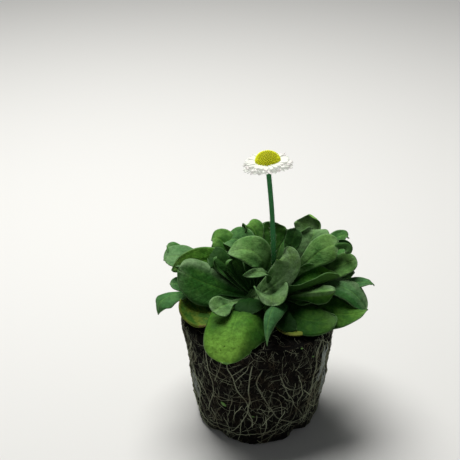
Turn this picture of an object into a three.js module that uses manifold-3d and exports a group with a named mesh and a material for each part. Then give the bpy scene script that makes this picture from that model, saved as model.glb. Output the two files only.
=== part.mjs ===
// An English daisy lifted out of its nursery pot: the root ball in the pot's shape, roots over its
// side, a rosette of spoon-shaped leaves with two old yellow ones, and one white flower on a bare
// stalk. Millimetres, +Z up. The origin is the middle of the root ball's flat underside, and the
// front of the plant faces -Y.
import * as THREE from "three";
import { mergeVertices } from "three/addons/utils/BufferGeometryUtils.js";
import Module from "manifold-3d";

const wasm = await Module();
wasm.setup();

// Driving dimensions
const GAP = 0.3; // clearance between neighbouring pieces
const LEAF_GAP = 0.5; // room cut round the leaves and the soil for another leaf

const BALL_HEIGHT = 65;
const BALL_TOP_RADIUS = 40.8;
const BALL_FOOT_RADIUS = 33.2;
const BALL_TOP_EDGE = 3; // rounding of the upper rim
const BALL_FOOT_EDGE = 2.8; // rounding of the lower edge
const BALL_SIDES = 34;
const BALL_LUMP = 0.7; // height of the side's broadest lumps
const SOIL_DOME = 1.2; // how much higher the soil stands in the middle
const SOIL_RIPPLE = 0.45;

const CROWN_CENTRE = [3, 4, 68];
const CROWN_RADII = [13, 9.5, 6];
const LEAF_START = [7, 4]; // how far from the crown's centre a leaf starts, along X and Y
const LEAF_START_HEIGHT = 70;
const LEAF_THICKNESS = 0.7;
const LEAF_LIFT = 1.05; // least height of a leaf's middle surface over the soil

const STALK_RADIUS = 1.25;
const STALK_PATH = [[8, 1, 66], [7.7, 0.6, 90], [6.2, 0.1, 120], [3.7, 0, 146.5]];
const HEAD_CENTRE = [3.5, 0, 150];
const HEAD_TILT = -3.3; // degrees about Y, so the left side of the flower hangs lower

const PETAL_THICKNESS = 0.6;
const PETAL_ROOT = 4.2; // radius at which the petals start
const PETAL_DROOP = 0.5; // how far a petal's tip bends down
const DISC_RADIUS = 6.35;
const DISC_MIDDLE = 1.9; // height of the disc's widest place over the head's centre
const DISC_RISE = 3.6; // height of its dome over that
const DISC_FLORETS = 40;
const FLORET_RADII = [0.9, 0.9, 0.85];
const BRACTS = 10;
const BRACT_LENGTHS = [2.6, 7.4]; // distances of a bract's ends from the stalk's axis
const BRACT_WIDTH = 3;
const BRACT_HEIGHTS = [-3.4, -2.5];

const ROOT_RADIUS = 0.65;
const ROOT_LIFT = 0.85; // extra height of a root over the soil's facets
const ROOT_LOWEST = 1.8;
const ROOT_SIDES = 3;
const ROOT_SEED = 5;
const PETAL_SEED = 11;

// Small helpers
const radians = THREE.MathUtils.degToRad;
const { clamp, lerp, smoothstep } = THREE.MathUtils;
const TURN = 2 * Math.PI;

// Repeatable random numbers from 0 to 1
function randomFrom(seed) {
  let state = seed;
  return () => {
    state = (state * 1664525 + 1013904223) % 4294967296;
    return state / 4294967296;
  };
}

// Closed geometry to solid and back
function solidOf(geometry) {
  const bare = geometry.clone();
  bare.deleteAttribute("normal");
  bare.deleteAttribute("uv");
  const merged = mergeVertices(bare, 1e-4);
  return new wasm.Manifold(new wasm.Mesh({
    numProp: 3,
    vertProperties: new Float32Array(merged.attributes.position.array),
    triVerts: new Uint32Array(merged.index.array),
  }));
}

function geometryOf(solid) {
  const { vertProperties, triVerts } = solid.getMesh();
  const geometry = new THREE.BufferGeometry();
  geometry.setAttribute("position", new THREE.BufferAttribute(vertProperties, 3));
  geometry.setIndex(new THREE.BufferAttribute(triVerts, 1));
  geometry.computeVertexNormals();
  return geometry;
}

function fuse(solids) {
  return solids.reduce((whole, solid) => whole.add(solid));
}

function largestBody(solid) {
  return solid.decompose().reduce((best, body) => (body.volume() > best.volume() ? body : best));
}

// A thin closed sheet over surface(s, a), with s from 0 to 1 along it and a from -1 to 1 across.
// Both faces are split into triangles alike. Room is added all round for a clearance.
function sheetSolid(rows, columns, surface, thickness, room = 0) {
  const at = (i, j) => surface(i / rows, (2 * j) / columns - 1);
  const step = 1e-3;
  const vertices = [];
  for (const side of [1, -1]) {
    for (let i = 0; i <= rows; i++) {
      for (let j = 0; j <= columns; j++) {
        const point = at(i, j);
        const along = at(i + step, j).sub(at(i - step, j));
        const across = at(i, j + step).sub(at(i, j - step));
        const normal = across.clone().cross(along).normalize();
        const edge = new THREE.Vector3();
        if (j === 0) edge.sub(across.normalize());
        if (j === columns) edge.add(across.normalize());
        if (i === 0) edge.sub(along.normalize());
        if (i === rows) edge.add(along.normalize());
        point.addScaledVector(normal, side * (thickness / 2 + room));
        point.addScaledVector(edge, room);
        vertices.push(...point.toArray());
      }
    }
  }
  const wide = columns + 1;
  const face = (rows + 1) * wide;
  const triangles = [];
  for (let i = 0; i < rows; i++) {
    for (let j = 0; j < columns; j++) {
      const [a, b, c, d] = [i * wide + j, i * wide + j + 1, (i + 1) * wide + j + 1, (i + 1) * wide + j];
      triangles.push(a, b, c, a, c, d);
      triangles.push(face + a, face + c, face + b, face + a, face + d, face + c);
    }
  }
  const rim = [];
  for (let j = 0; j < columns; j++) rim.push(j);
  for (let i = 0; i < rows; i++) rim.push(i * wide + columns);
  for (let j = columns; j > 0; j--) rim.push(rows * wide + j);
  for (let i = rows; i > 0; i--) rim.push(i * wide);
  rim.forEach((p, k) => {
    const q = rim[(k + 1) % rim.length];
    triangles.push(p, face + q, q, p, face + p, face + q);
  });
  const geometry = new THREE.BufferGeometry();
  geometry.setAttribute("position", new THREE.Float32BufferAttribute(vertices, 3));
  geometry.setIndex(triangles);
  return solidOf(geometry);
}

function tubeSolid(points, radius, sides, steps) {
  const section = new THREE.Shape();
  for (let k = 0; k < sides; k++) {
    const turn = (TURN * k) / sides;
    section[k ? "lineTo" : "moveTo"](radius * Math.cos(turn), radius * Math.sin(turn));
  }
  section.closePath();
  const path = new THREE.CatmullRomCurve3(points);
  return solidOf(new THREE.ExtrudeGeometry(section, { steps, extrudePath: path, bevelEnabled: false }));
}

// A lathe turned about Z. Its profile is a list of [radius, height] that starts and ends on the axis.
function latheSolid(profile, sides) {
  const points = profile.map(([radius, height]) => new THREE.Vector2(radius, height));
  return solidOf(new THREE.LatheGeometry(points, sides).rotateX(Math.PI / 2));
}

// Root ball: a slightly lumpy cone frustum with crumbled edges
const NICKS = [
  { angle: -48, height: 1, depth: 3.5, reach: 9 },
  { angle: -128, height: 2, depth: 2, reach: 8 },
  { angle: 75, height: 1, depth: 2.5, reach: 9 },
  { angle: 170, height: 60, depth: 1.8, reach: 8 },
  { angle: -30, height: 64, depth: 1.6, reach: 7 },
];

function ballRadius(angle, height) {
  const taper = lerp(BALL_FOOT_RADIUS, BALL_TOP_RADIUS, height / BALL_HEIGHT);
  const broad = BALL_LUMP * Math.sin(3 * angle + 0.06 * height);
  const middling = 0.55 * BALL_LUMP * Math.sin(7 * angle - 0.17 * height + 1);
  const fine = 0.4 * BALL_LUMP * Math.sin(12 * angle + 0.31 * height + 2);
  let radius = taper + broad * 0.6 + middling + fine;
  for (const nick of NICKS) {
    const turn = Math.atan2(Math.sin(angle - radians(nick.angle)), Math.cos(angle - radians(nick.angle)));
    const away = Math.hypot(turn * taper, height - nick.height) / nick.reach;
    radius -= nick.depth * Math.exp(-3 * away * away);
  }
  return radius;
}

function soilTop(x, y) {
  const dome = SOIL_DOME * (1 - (x * x + y * y) / (BALL_TOP_RADIUS * BALL_TOP_RADIUS));
  return BALL_HEIGHT + dome + SOIL_RIPPLE * Math.sin(0.45 * x + 0.3) * Math.sin(0.4 * y + 1);
}

function edgeInset(height) {
  const low = height < BALL_HEIGHT / 2;
  const edge = low ? BALL_FOOT_EDGE : BALL_TOP_EDGE;
  const into = Math.max(0, 1 - (low ? height : BALL_HEIGHT - height) / edge);
  return edge * (1 - Math.sqrt(1 - into * into));
}

// Rings of the underside and the top are shares of the radius, those of the wall are heights
const UNDER_RINGS = [0, 0.4, 0.8];
const WALL_RINGS = [0, 0.5, 2, 5, 13, 22, 31, 40, 49, 57, 62, 64.2];
const TOP_RINGS = [0.93, 0.75, 0.5, 0.25, 0];

function ballSolid(room = 0) {
  const under = UNDER_RINGS.map((share) => ({ share, height: 0 }));
  const wall = WALL_RINGS.map((height) => ({ share: 1, height }));
  const top = TOP_RINGS.map((share) => ({ share, height: BALL_HEIGHT, top: true }));
  const rows = [...under, ...wall, ...top];
  const lathe = new THREE.LatheGeometry(rows.map((row, k) => new THREE.Vector2(row.share, k)), BALL_SIDES);
  lathe.rotateX(Math.PI / 2);
  const position = lathe.attributes.position;
  for (let k = 0; k < position.count; k++) {
    const row = rows[Math.round(position.getZ(k))];
    const angle = Math.atan2(position.getY(k), position.getX(k));
    const radius = row.share * (ballRadius(angle, row.height) - edgeInset(row.height) + room);
    const x = radius * Math.cos(angle);
    const y = radius * Math.sin(angle);
    const height = row.top ? soilTop(x, y) + room : row.height || -room;
    position.setXYZ(k, x, y, height);
  }
  return solidOf(lathe);
}

// Roots over the side. A place is [degrees round from the front, height], rightwards positive.
const MAIN_ROOTS = [
  [[-3, 58], [-7, 42], [-6, 30], [-14, 15], [-28, 4]],
  [[4, 54], [0, 44], [12, 25], [22, 17], [50, 6]],
  [[16, 50], [24, 37], [38, 20], [60, 4]],
  [[-24, 56], [-16, 39], [-8, 30], [-2, 14]],
  [[52, 61], [50, 47], [50, 30], [49, 15], [40, 5]],
  [[62, 60], [66, 44], [58, 28], [62, 10]],
  [[-80, 58], [-70, 47], [-66, 35], [-63, 18], [-74, 5]],
  [[-42, 60], [-39, 45], [-39, 30], [-50, 12]],
];
const RING_ROOTS = [
  { from: -112, to: 66, height: 9 },
  { from: 50, to: 262, height: 12 },
];
const RING_SPACING = 14; // degrees from one of a ring's points to the next
const RING_WAVE = 3;
const WANDERING_ROOTS = 15;
const WANDERING_FROM = 68; // degrees, at the right-hand end of the places chosen by hand
const WANDERING_TURN = 250;
const WANDERING_STEP = 8.5; // height from one of a wandering root's points to the next

function onBall([degrees, height]) {
  const angle = radians(degrees - 90);
  const radius = ballRadius(angle, height) - edgeInset(height) + GAP + ROOT_RADIUS + ROOT_LIFT;
  return new THREE.Vector3(radius * Math.cos(angle), radius * Math.sin(angle), height);
}

function rootSolid(places, steps) {
  return tubeSolid(places.map(onBall), ROOT_RADIUS, ROOT_SIDES, steps);
}

function ringPlaces({ from, to, height }) {
  const places = [];
  const points = Math.round((to - from) / RING_SPACING);
  for (let k = 0; k <= points; k++) {
    const degrees = lerp(from, to, k / points);
    places.push([degrees, height + RING_WAVE * Math.sin(radians(2.3 * degrees))]);
  }
  return places;
}

function wanderingPlaces(index, random) {
  const spread = WANDERING_TURN / WANDERING_ROOTS;
  let degrees = WANDERING_FROM + index * spread + 6 * random();
  let drift = 14 * (random() - 0.5);
  const places = [];
  for (let height = 46 + 16 * random(); height > ROOT_LOWEST; height -= WANDERING_STEP) {
    places.push([degrees, height]);
    degrees += drift;
    drift = 0.5 * drift + 16 * (random() - 0.5);
  }
  return places;
}

function surfaceRoots() {
  const random = randomFrom(ROOT_SEED);
  const roots = MAIN_ROOTS.map((places) => rootSolid(places, 7));
  for (const ring of RING_ROOTS) roots.push(rootSolid(ringPlaces(ring), 15));
  for (let k = 0; k < WANDERING_ROOTS; k++) roots.push(rootSolid(wanderingPlaces(k, random), 5));
  return largestBody(fuse(roots));
}

// Crown: the low knuckle that all leaves grow from, standing in a plain hollow of the soil
function crownSolid(room = 0) {
  const knuckle = new THREE.SphereGeometry(1, 12, 7).rotateX(Math.PI / 2);
  knuckle.scale(...CROWN_RADII.map((radius) => radius + room));
  return solidOf(knuckle.translate(...CROWN_CENTRE));
}

// Leaves. Each has a midrib through three points, from the crown by way of middle (halfway) to tip.
// Width is the blade's greatest, and right and left are as seen from the crown. roll raises the right
// side, cup bends both sides up, and foldLeft and foldRight are [share of the side, degrees] by which a
// side bends up from there. start is the share of the rib at which the blade starts to widen, blunt how
// square its left and right tip are, sides their widths, and base its place on the crown where given.
// hook is [share of the rib, degrees] by which the end bends down from there, wave the height of the
// margin's waves, and notch the depth of the tip's notch.
const FRONT_LEAVES = [
  { middle: [-11, -29, 75], tip: [-14.5, -44.5, 61], width: 33, cup: -12, foldLeft: [0.35, -40],
    foldRight: [0.85, -60], start: -1.2, blunt: [2.8, 6], sides: [1.25, 1], base: [-4.5, -1, 71], wave: 0.9 },
  { middle: [-14.5, -18, 79.5], tip: [-22.5, -28, 80.5], width: 12, roll: 30, cup: 20, start: 0.4 },
  { middle: [-4.4, -12, 77], tip: [-4.2, -22, 75], width: 16, start: 0.1 },
  { middle: [6.5, -26, 80.5], tip: [4.4, -42, 70.5], width: 8, cup: -60, start: -0.5, blunt: [1.2, 1.6],
    sides: [1.8, 1], base: [14, 1, 70] },
  { middle: [10, -16, 72], tip: [19, -25, 68.5], width: 13, start: -0.4 },
  { middle: [23.8, -18, 70.5], tip: [39, -18.5, 73], width: 19, roll: -25, start: -0.4 },
  { middle: [6, -13, 82], tip: [6.4, -20.5, 80], width: 21, cup: 65, start: 0, blunt: [2.2, 2.2] },
];
const RIGHT_LEAVES = [
  { middle: [38, -14, 71.5], tip: [55.8, -14, 73], width: 22, roll: -24, start: -0.4, blunt: [1.1, 1.1] },
  { middle: [38.5, -3, 82], tip: [55.2, -9, 72.5], width: 14, roll: -15, start: 0.05 },
  { middle: [40, -2, 73], tip: [52, -3, 70.5], width: 12, roll: -10 },
  { middle: [24, -9.5, 79], tip: [38.7, -12, 83.5], width: 18, foldRight: [0.05, -80], start: 0.1,
    sides: [0.85, 0.55], wave: 1 },
  { middle: [27, -1, 81], tip: [41.3, 1, 85], width: 25, cup: 90, start: -1.2, blunt: [2, 2], wave: 0.3 },
  { middle: [21, -4, 75.5], tip: [30, -7, 78], width: 12, roll: -40, cup: 35, start: 0.1 },
  { middle: [27, 8, 93], tip: [36.5, 11.5, 100], width: 20, roll: -40, cup: -15, start: 0.15,
    blunt: [2.4, 3], sides: [1.3, 0.65] },
  { middle: [25, 14, 94], tip: [28, 21, 101.5], width: 18, roll: -30, start: 0.2 },
  { middle: [14.2, -8, 92], tip: [13.5, 3, 101.5], width: 13, roll: -22, start: -0.3, blunt: [1.8, 2.4],
    base: [-4, -1, 71] },
  { middle: [37.5, 6, 86], tip: [50.5, 8, 90.5], width: 14, roll: -25, start: -0.2, wave: 0.2 },
  { middle: [36, 5, 81], tip: [49.5, 5, 85], width: 7, roll: -20, wave: 0.2 },
  { middle: [47, 1, 81], tip: [60, 1, 79.5], width: 6.5, roll: -20, start: 0.1, blunt: [1.2, 1.2] },
];
const LEFT_LEAVES = [
  { middle: [1.5, 8, 89.5], tip: [-16, 9, 97.5], width: 18, roll: 28, hook: [0.7, 20], start: 0.1,
    wave: 1.1 },
  { middle: [-7, 18, 92], tip: [-19, 20, 93], width: 16, roll: 30, start: 0.2 },
  { middle: [-17.5, 18, 92], tip: [-25.5, 22, 93], width: 15, roll: 30, start: -0.3 },
  { middle: [-36, 15, 86], tip: [-49, 18, 91.5], width: 10, roll: 10, start: 0.4 },
  { middle: [-34, 9, 88.5], tip: [-50, 9, 88], width: 19, roll: 10, start: 0.1 },
  { middle: [-26, 9, 88], tip: [-45, -1.5, 88], width: 17, roll: 55, start: -1, blunt: [1.8, 1.8],
    sides: [0.4, 1], base: [-4, 9, 71] },
  { middle: [-24.5, -4, 81], tip: [-41, -8, 92.5], width: 27, roll: 40, foldRight: [0.7, -50],
    start: 0.05, sides: [0.95, 1.08], notch: 0.22 },
  { middle: [-31, -2, 79], tip: [-46, -4, 82], width: 9, roll: 25, wave: 0.2 },
  { middle: [-41, -13, 81.5], tip: [-51, -20, 73], width: 15, cup: -30, blunt: [1.4, 1.4] },
  { middle: [-18, 8, 87], tip: [-27, 10, 89.5], width: 14, roll: 30 },
];
const HEART_LEAVES = [
  { middle: [-21, 4, 86], tip: [-22, 6, 92], width: 6 },
  { middle: [-16, 4, 85.5], tip: [-14, 5, 91], width: 5 },
  { middle: [4, -4, 88.5], tip: [-8, -8, 89.5], width: 10, roll: 28, cup: 45, start: 0.15,
    blunt: [1.6, 1.6] },
  { middle: [-3, 7, 84], tip: [-7, 9, 93], width: 13 },
];
const BACK_LEAVES = [
  { middle: [36, 18, 94.5], tip: [47, 19, 97.5], width: 8, roll: -20, start: -0.5, sides: [1, 1.4] },
  { middle: [37, 12, 92.5], tip: [45, 7, 95.5], width: 10, cup: 140, start: 0, blunt: [6, 6], wave: 0 },
  { middle: [24.5, 26, 91], tip: [26.5, 32, 104], width: 18, cup: 50 },
  { middle: [15.5, 10, 94], tip: [18.6, 13, 106], width: 10, roll: -20 },
  { middle: [7, 24, 91], tip: [8, 28, 101], width: 14 },
  { middle: [4, 28, 88.5], tip: [3.5, 34, 98], width: 12 },
  { middle: [-1.5, 24, 94.5], tip: [-9, 28, 98.5], width: 12 },
  { middle: [36, 14, 75], tip: [51, 20, 71], width: 20, start: 0.1 },
  { middle: [30, 24, 82], tip: [44, 35, 84], width: 20, start: 0.15 },
  { middle: [20, 32, 75], tip: [27, 49, 69], width: 22, start: 0.1 },
  { middle: [11, 30, 84], tip: [14, 44, 88], width: 18, start: 0.15 },
  { middle: [1, 34, 75], tip: [-3, 51, 69], width: 22, start: 0.1 },
  { middle: [-10, 30, 83], tip: [-18, 42, 87], width: 18, start: 0.15 },
  { middle: [-21, 28, 76], tip: [-34, 41, 72], width: 22, start: 0.1 },
  { middle: [-30, 20, 80], tip: [-44, 28, 80], width: 18, start: 0.15 },
  { middle: [-28, 14, 73], tip: [-39, 20, 67.5], width: 16, start: 0.1 },
];
const OLD_LEAF_LEFT = { middle: [-26, -14, 71], tip: [-38.6, -13, 79.5], width: 22, roll: 25 };
const OLD_LEAF_FRONT = { middle: [14, -20, 67.5], tip: [28, -29, 66.5], width: 12 };

const SMALL_LEAF = 16; // a leaf narrower than this is built of fewer facets
const STALK_SHARE = 0.2; // a leaf stalk's width as a share of its blade's
const TIP_SHARE = 0.12; // the tip's width as a share of the blade's
const FOLD_SOFTNESS = 0.15; // share of a side over which its fold bends
const SIDE_STEPS = 12;

function vector(point) {
  return new THREE.Vector3(...point);
}

function leafBase({ base, tip }) {
  if (base) return vector(base);
  const away = new THREE.Vector2(tip[0] - CROWN_CENTRE[0], tip[1] - CROWN_CENTRE[1]);
  const share = Math.min(1, away.length() / 20) / away.length();
  return new THREE.Vector3(
    CROWN_CENTRE[0] + LEAF_START[0] * away.x * share,
    CROWN_CENTRE[1] + LEAF_START[1] * away.y * share,
    LEAF_START_HEIGHT,
  );
}

// Width of one side of the blade, as a share of its greatest width
function spoonWidth(s, start, blunt) {
  const widest = start + 0.6 * (1 - start);
  if (s <= widest) return lerp(STALK_SHARE, 1, smoothstep(s, start, widest));
  const ending = Math.max(0, 1 - ((s - widest) / (1 - widest)) ** blunt);
  return Math.max(TIP_SHARE, ending ** (0.5 + Math.max(0, 0.6 * (2 - blunt))));
}

// Lifts a point off the soil, or pushes it out from the side, whichever is less
function clearOfSoil(point) {
  const radius = Math.hypot(point.x, point.y);
  const side = ballRadius(Math.atan2(point.y, point.x), clamp(point.z, 0, BALL_HEIGHT)) + LEAF_LIFT;
  const up = soilTop(point.x, point.y) + LEAF_LIFT - point.z;
  const out = side - radius;
  if (up <= 0 || out <= 0) return point;
  if (up < out) return point.setZ(point.z + up);
  return point.set((point.x * side) / radius, (point.y * side) / radius, point.z);
}

// How far the blade reaches sideways and upwards at spread a, for a half width of 1
function sideProfile({ cup = 0, foldLeft = [1, 0], foldRight = [1, 0] }, a) {
  const [at, degrees] = a > 0 ? foldRight : foldLeft;
  const step = Math.abs(a) / SIDE_STEPS;
  let across = 0;
  let lift = 0;
  for (let k = 0; k < SIDE_STEPS; k++) {
    const t = (k + 0.5) * step;
    const slope = radians(cup * t + degrees * smoothstep(t, at - FOLD_SOFTNESS, at + FOLD_SOFTNESS));
    across += step * Math.cos(slope);
    lift += step * Math.sin(slope);
  }
  return [Math.sign(a) * across, lift];
}

function leafSurface(leaf) {
  const { width, roll = 0, start = 0.25, hook = [1, 0], notch = 0, wave = 0.6 } = leaf;
  const { blunt = [2.4, 2.4], sides = [1, 1] } = leaf;
  const base = leafBase(leaf);
  const tip = vector(leaf.tip);
  const bend = vector(leaf.middle).multiplyScalar(2).addScaledVector(base, -0.5).addScaledVector(tip, -0.5);
  const rib = new THREE.QuadraticBezierCurve3(base, bend, tip);
  const level = new THREE.Vector3(tip.y - base.y, base.x - tip.x, 0).normalize();
  const phase = tip.x + tip.y;
  const [hookFrom, hookTurn] = hook;
  const ribPlace = (s) => {
    if (s <= hookFrom || !hookTurn) return rib.getPoint(s);
    const pivot = rib.getPoint(hookFrom);
    const turn = (-radians(hookTurn) * (s - hookFrom)) / (1 - hookFrom);
    return rib.getPoint(s).sub(pivot).applyAxisAngle(level, turn).add(pivot);
  };
  return (share, a) => {
    const s = share * (1.35 - 0.35 * share); // rows crowd towards the tip
    const reach = s * (1 - notch * Math.exp(-((a / 0.22) ** 2)) * smoothstep(s, 0.6, 1));
    const along = ribPlace(Math.min(1, reach + 0.01)).sub(ribPlace(Math.max(0, reach - 0.01))).normalize();
    const side = level.clone().addScaledVector(along, -level.dot(along)).normalize();
    side.applyAxisAngle(along, -radians(roll));
    const up = side.clone().cross(along);
    const right = a > 0 ? 1 : 0;
    const half = 0.5 * width * sides[right] * spoonWidth(s, start, blunt[right]);
    const [across, lift] = sideProfile(leaf, a);
    const swell = wave * smoothstep(s, start, start + 0.3) * a * a;
    const ripple = swell * Math.sin(1.5 * TURN * s + phase + 2 * a);
    const point = ribPlace(reach).addScaledVector(side, half * across);
    return clearOfSoil(point.addScaledVector(up, half * lift + ripple));
  };
}

function leafSolid(leaf, room = 0) {
  const small = leaf.width < SMALL_LEAF;
  return sheetSolid(small ? 5 : 6, small ? 2 : 4, leafSurface(leaf), LEAF_THICKNESS, room);
}

// Flower: the parts of the head are made flat about the origin and then placed on the stalk
function onStalk(solid) {
  return solid.rotate(0, HEAD_TILT, 0).translate(...HEAD_CENTRE);
}

function stalkSolid(room = 0) {
  const points = STALK_PATH.map(vector);
  points[0].z -= room;
  return tubeSolid(points, STALK_RADIUS + room, 8, 7);
}

function bractSolid(index) {
  const turn = (TURN * index) / BRACTS;
  const surface = (s, a) => {
    const half = 0.5 * BRACT_WIDTH * Math.sqrt(Math.max(0.05, 1 - s ** 3));
    const point = new THREE.Vector3(lerp(...BRACT_LENGTHS, s), half * a, lerp(...BRACT_HEIGHTS, s));
    return point.applyAxisAngle(new THREE.Vector3(0, 0, 1), turn);
  };
  return sheetSolid(2, 1, surface, PETAL_THICKNESS);
}

const CUP_PROFILE = [[0, -4.6], [1.4, -4.4], [3.6, -2.9], [4.6, -1.6], [0, -1.6]];

function greenCup() {
  const cup = latheSolid(CUP_PROFILE, 12);
  const bracts = Array.from({ length: BRACTS }, (_, index) => bractSolid(index));
  return onStalk(fuse([cup, ...bracts]));
}

const PETAL_LAYERS = [
  { count: 18, reach: 12.7, rise: -7, level: -0.85, width: 2.45 },
  { count: 17, reach: 12.1, rise: 1, level: -0.15, width: 2.4 },
  { count: 12, reach: 10.6, rise: 9, level: 0.5, width: 2.2 },
];
const PETAL_SHAPE = [0.42, 0.95, 1, 0.42]; // width at even steps along a petal, as a share
const PETAL_RING = [[0, -1.25], [5.2, -1.25], [5.2, 0.8], [0, 0.8]]; // joins the petals' inner ends

function petalWidth(s) {
  const last = PETAL_SHAPE.length - 1;
  const place = clamp(s, 0, 1) * last;
  const low = Math.min(last - 1, Math.floor(place));
  return lerp(PETAL_SHAPE[low], PETAL_SHAPE[low + 1], place - low);
}

function petalSolid(turn, reach, rise, level, width, lean) {
  const surface = (s, a) => {
    const out = lerp(PETAL_ROOT, reach, s);
    const half = 0.5 * width * petalWidth(s);
    const climb = Math.tan(radians(rise)) * (out - PETAL_ROOT) - PETAL_DROOP * s * s;
    const point = new THREE.Vector3(out, half * a, level + climb + lean * half * a);
    return point.applyAxisAngle(new THREE.Vector3(0, 0, 1), turn);
  };
  return sheetSolid(PETAL_SHAPE.length - 1, 1, surface, PETAL_THICKNESS);
}

function rayPetals() {
  const random = randomFrom(PETAL_SEED);
  const ring = latheSolid(PETAL_RING, 16);
  const petals = PETAL_LAYERS.flatMap(({ count, reach, rise, level, width }, layer) => (
    Array.from({ length: count }, (_, index) => {
      const turn = (TURN * (index + 0.35 * layer + 0.3 * random())) / count;
      const length = reach * (1 - 0.08 * random());
      const angle = rise + 4 * (random() - 0.5);
      return petalSolid(turn, length, angle, level, width, 0.25 * (random() - 0.5));
    })
  ));
  return onStalk(fuse([ring, ...petals]));
}

const DISC_PROFILE = [[0, 1.3], [4.9, 1.3], [6, 1.9], [6, 2.4], [5, 3.7], [3.2, 5.1], [0, 5.6]];
const GOLDEN_ANGLE = Math.PI * (3 - Math.sqrt(5));

function discFlorets() {
  const florets = [];
  for (let k = 0; k < DISC_FLORETS; k++) {
    const share = Math.sqrt((k + 0.5) / DISC_FLORETS);
    const turn = k * GOLDEN_ANGLE;
    const lean = share * radians(84);
    const out = (DISC_RADIUS - 0.5 * FLORET_RADII[0]) * Math.sin(lean);
    const height = DISC_MIDDLE + DISC_RISE * Math.cos(lean);
    const floret = new THREE.OctahedronGeometry(1).scale(...FLORET_RADII);
    floret.rotateY(lean).rotateZ(turn).translate(out * Math.cos(turn), out * Math.sin(turn), height);
    florets.push(solidOf(floret));
  }
  return onStalk(fuse([latheSolid(DISC_PROFILE, 14), ...florets]));
}

// The plant as named pieces
const leaves = [...FRONT_LEAVES, ...RIGHT_LEAVES, ...LEFT_LEAVES, ...HEART_LEAVES, ...BACK_LEAVES];
const crown = crownSolid();
const foliage = fuse([crown, ...leaves.map((leaf) => leafSolid(leaf))]);
const foliageRoom = fuse([crownSolid(GAP), ...leaves.map((leaf) => leafSolid(leaf, LEAF_GAP))]);
const soilRoom = ballSolid(LEAF_GAP).subtract(crownSolid(GAP));
const stalkRoom = stalkSolid(GAP);
const oldLeft = leafSolid(OLD_LEAF_LEFT).subtract(foliageRoom).subtract(soilRoom);
const oldFront = leafSolid(OLD_LEAF_FRONT).subtract(foliageRoom).subtract(soilRoom);

const finish = (color, roughness) => new THREE.MeshStandardMaterial({ color, roughness, metalness: 0 });

const pieces = {
  soil: [ballSolid().subtract(crownSolid(GAP)), finish(0x2b211b, 0.95)],
  surface_roots: [surfaceRoots(), finish(0x8d7a62, 0.85)],
  leaf_rosette: [largestBody(foliage.subtract(soilRoom).subtract(stalkRoom)), finish(0x4f7d3a, 0.6)],
  old_leaf_left: [largestBody(oldLeft), finish(0x8a7a3a, 0.7)],
  old_leaf_front: [largestBody(oldFront), finish(0x9a8c46, 0.7)],
  flower_stem: [fuse([stalkSolid(), greenCup()]), finish(0x41663f, 0.55)],
  ray_petals: [rayPetals(), finish(0xf2f1ee, 0.6)],
  disc_florets: [discFlorets(), finish(0xe2cf2f, 0.7)],
};

const daisy = new THREE.Group();
for (const [name, [solid, material]] of Object.entries(pieces)) {
  const mesh = new THREE.Mesh(geometryOf(solid), material);
  mesh.name = name;
  daisy.add(mesh);
}

export default daisy;
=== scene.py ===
# An English daisy lifted out of its nursery pot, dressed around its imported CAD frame: fine leaves,
# a white flower, damp soil and the roots over it. Places are written in millimetres, as in the CAD
# source, and turned into metres where a mesh is made. The front of the plant faces -Y.
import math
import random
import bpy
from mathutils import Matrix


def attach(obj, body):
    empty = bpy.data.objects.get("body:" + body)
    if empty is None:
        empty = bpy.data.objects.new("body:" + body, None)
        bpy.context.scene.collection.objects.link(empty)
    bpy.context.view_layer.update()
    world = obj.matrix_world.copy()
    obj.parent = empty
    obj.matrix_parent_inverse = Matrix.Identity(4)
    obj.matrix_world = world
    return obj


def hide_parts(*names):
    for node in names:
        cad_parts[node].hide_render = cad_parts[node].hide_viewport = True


bl_info = {
    "name": "English Daisy",
    "version": (1, 0, 0),
    "blender": (4, 5, 0),
    "location": "3D View > Sidebar > Daisy",
    "description": "Builds a bedding daisy with its bare root ball, leaf by leaf and root by root",
    "category": "Add Mesh",
}

from collections import namedtuple

import bmesh
import bpy
from bpy.props import FloatProperty, FloatVectorProperty, IntProperty, PointerProperty
from mathutils import Color, Matrix, Quaternion, Vector, noise

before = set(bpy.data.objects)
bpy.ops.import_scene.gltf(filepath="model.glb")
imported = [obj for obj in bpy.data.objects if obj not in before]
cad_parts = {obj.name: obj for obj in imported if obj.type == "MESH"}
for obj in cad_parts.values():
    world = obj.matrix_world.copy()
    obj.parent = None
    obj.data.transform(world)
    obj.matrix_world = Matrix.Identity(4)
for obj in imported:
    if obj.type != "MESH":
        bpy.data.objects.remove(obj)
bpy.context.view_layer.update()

MM = 0.001
TURN = 2 * math.pi
UP = Vector((0, 0, 1))


# Small helpers

def clamp(value, low=0.0, high=1.0):
    return max(low, min(high, value))


def lerp(start, end, share):
    return start + (end - start) * share


def smoothstep(value, low, high):
    share = clamp((value - low) / (high - low))
    return share * share * (3 - 2 * share)


def catmull_rom(points, share):
    """A place on the smooth curve through the points, share from 0 to 1."""
    spans = len(points) - 1
    place = clamp(share) * spans
    low = min(spans - 1, int(place))
    t = place - low
    before = points[max(0, low - 1)]
    start = points[low]
    end = points[low + 1]
    after = points[min(spans, low + 2)]
    return 0.5 * (2 * start + (end - before) * t + (2 * before - 5 * start + 4 * end - after) * t ** 2
                  + (3 * start - before - 3 * end + after) * t ** 3)


def repeatable(seed):
    """The CAD source's own random numbers, so that its wandering roots lie where it puts them."""
    state = seed
    while True:
        state = (state * 1664525 + 1013904223) % 4294967296
        yield state / 4294967296


def polar(radius, angle, height=0.0):
    """A place at a radius and an angle round the upright axis."""
    return Vector((radius * math.cos(angle), radius * math.sin(angle), height))


def mesh_of(shape):
    """Makes a mesh in metres of a finished shape."""
    mesh = bpy.data.meshes.new("shape")
    shape.to_mesh(mesh)
    shape.free()
    mesh.transform(Matrix.Scale(MM, 4))
    return mesh


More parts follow.
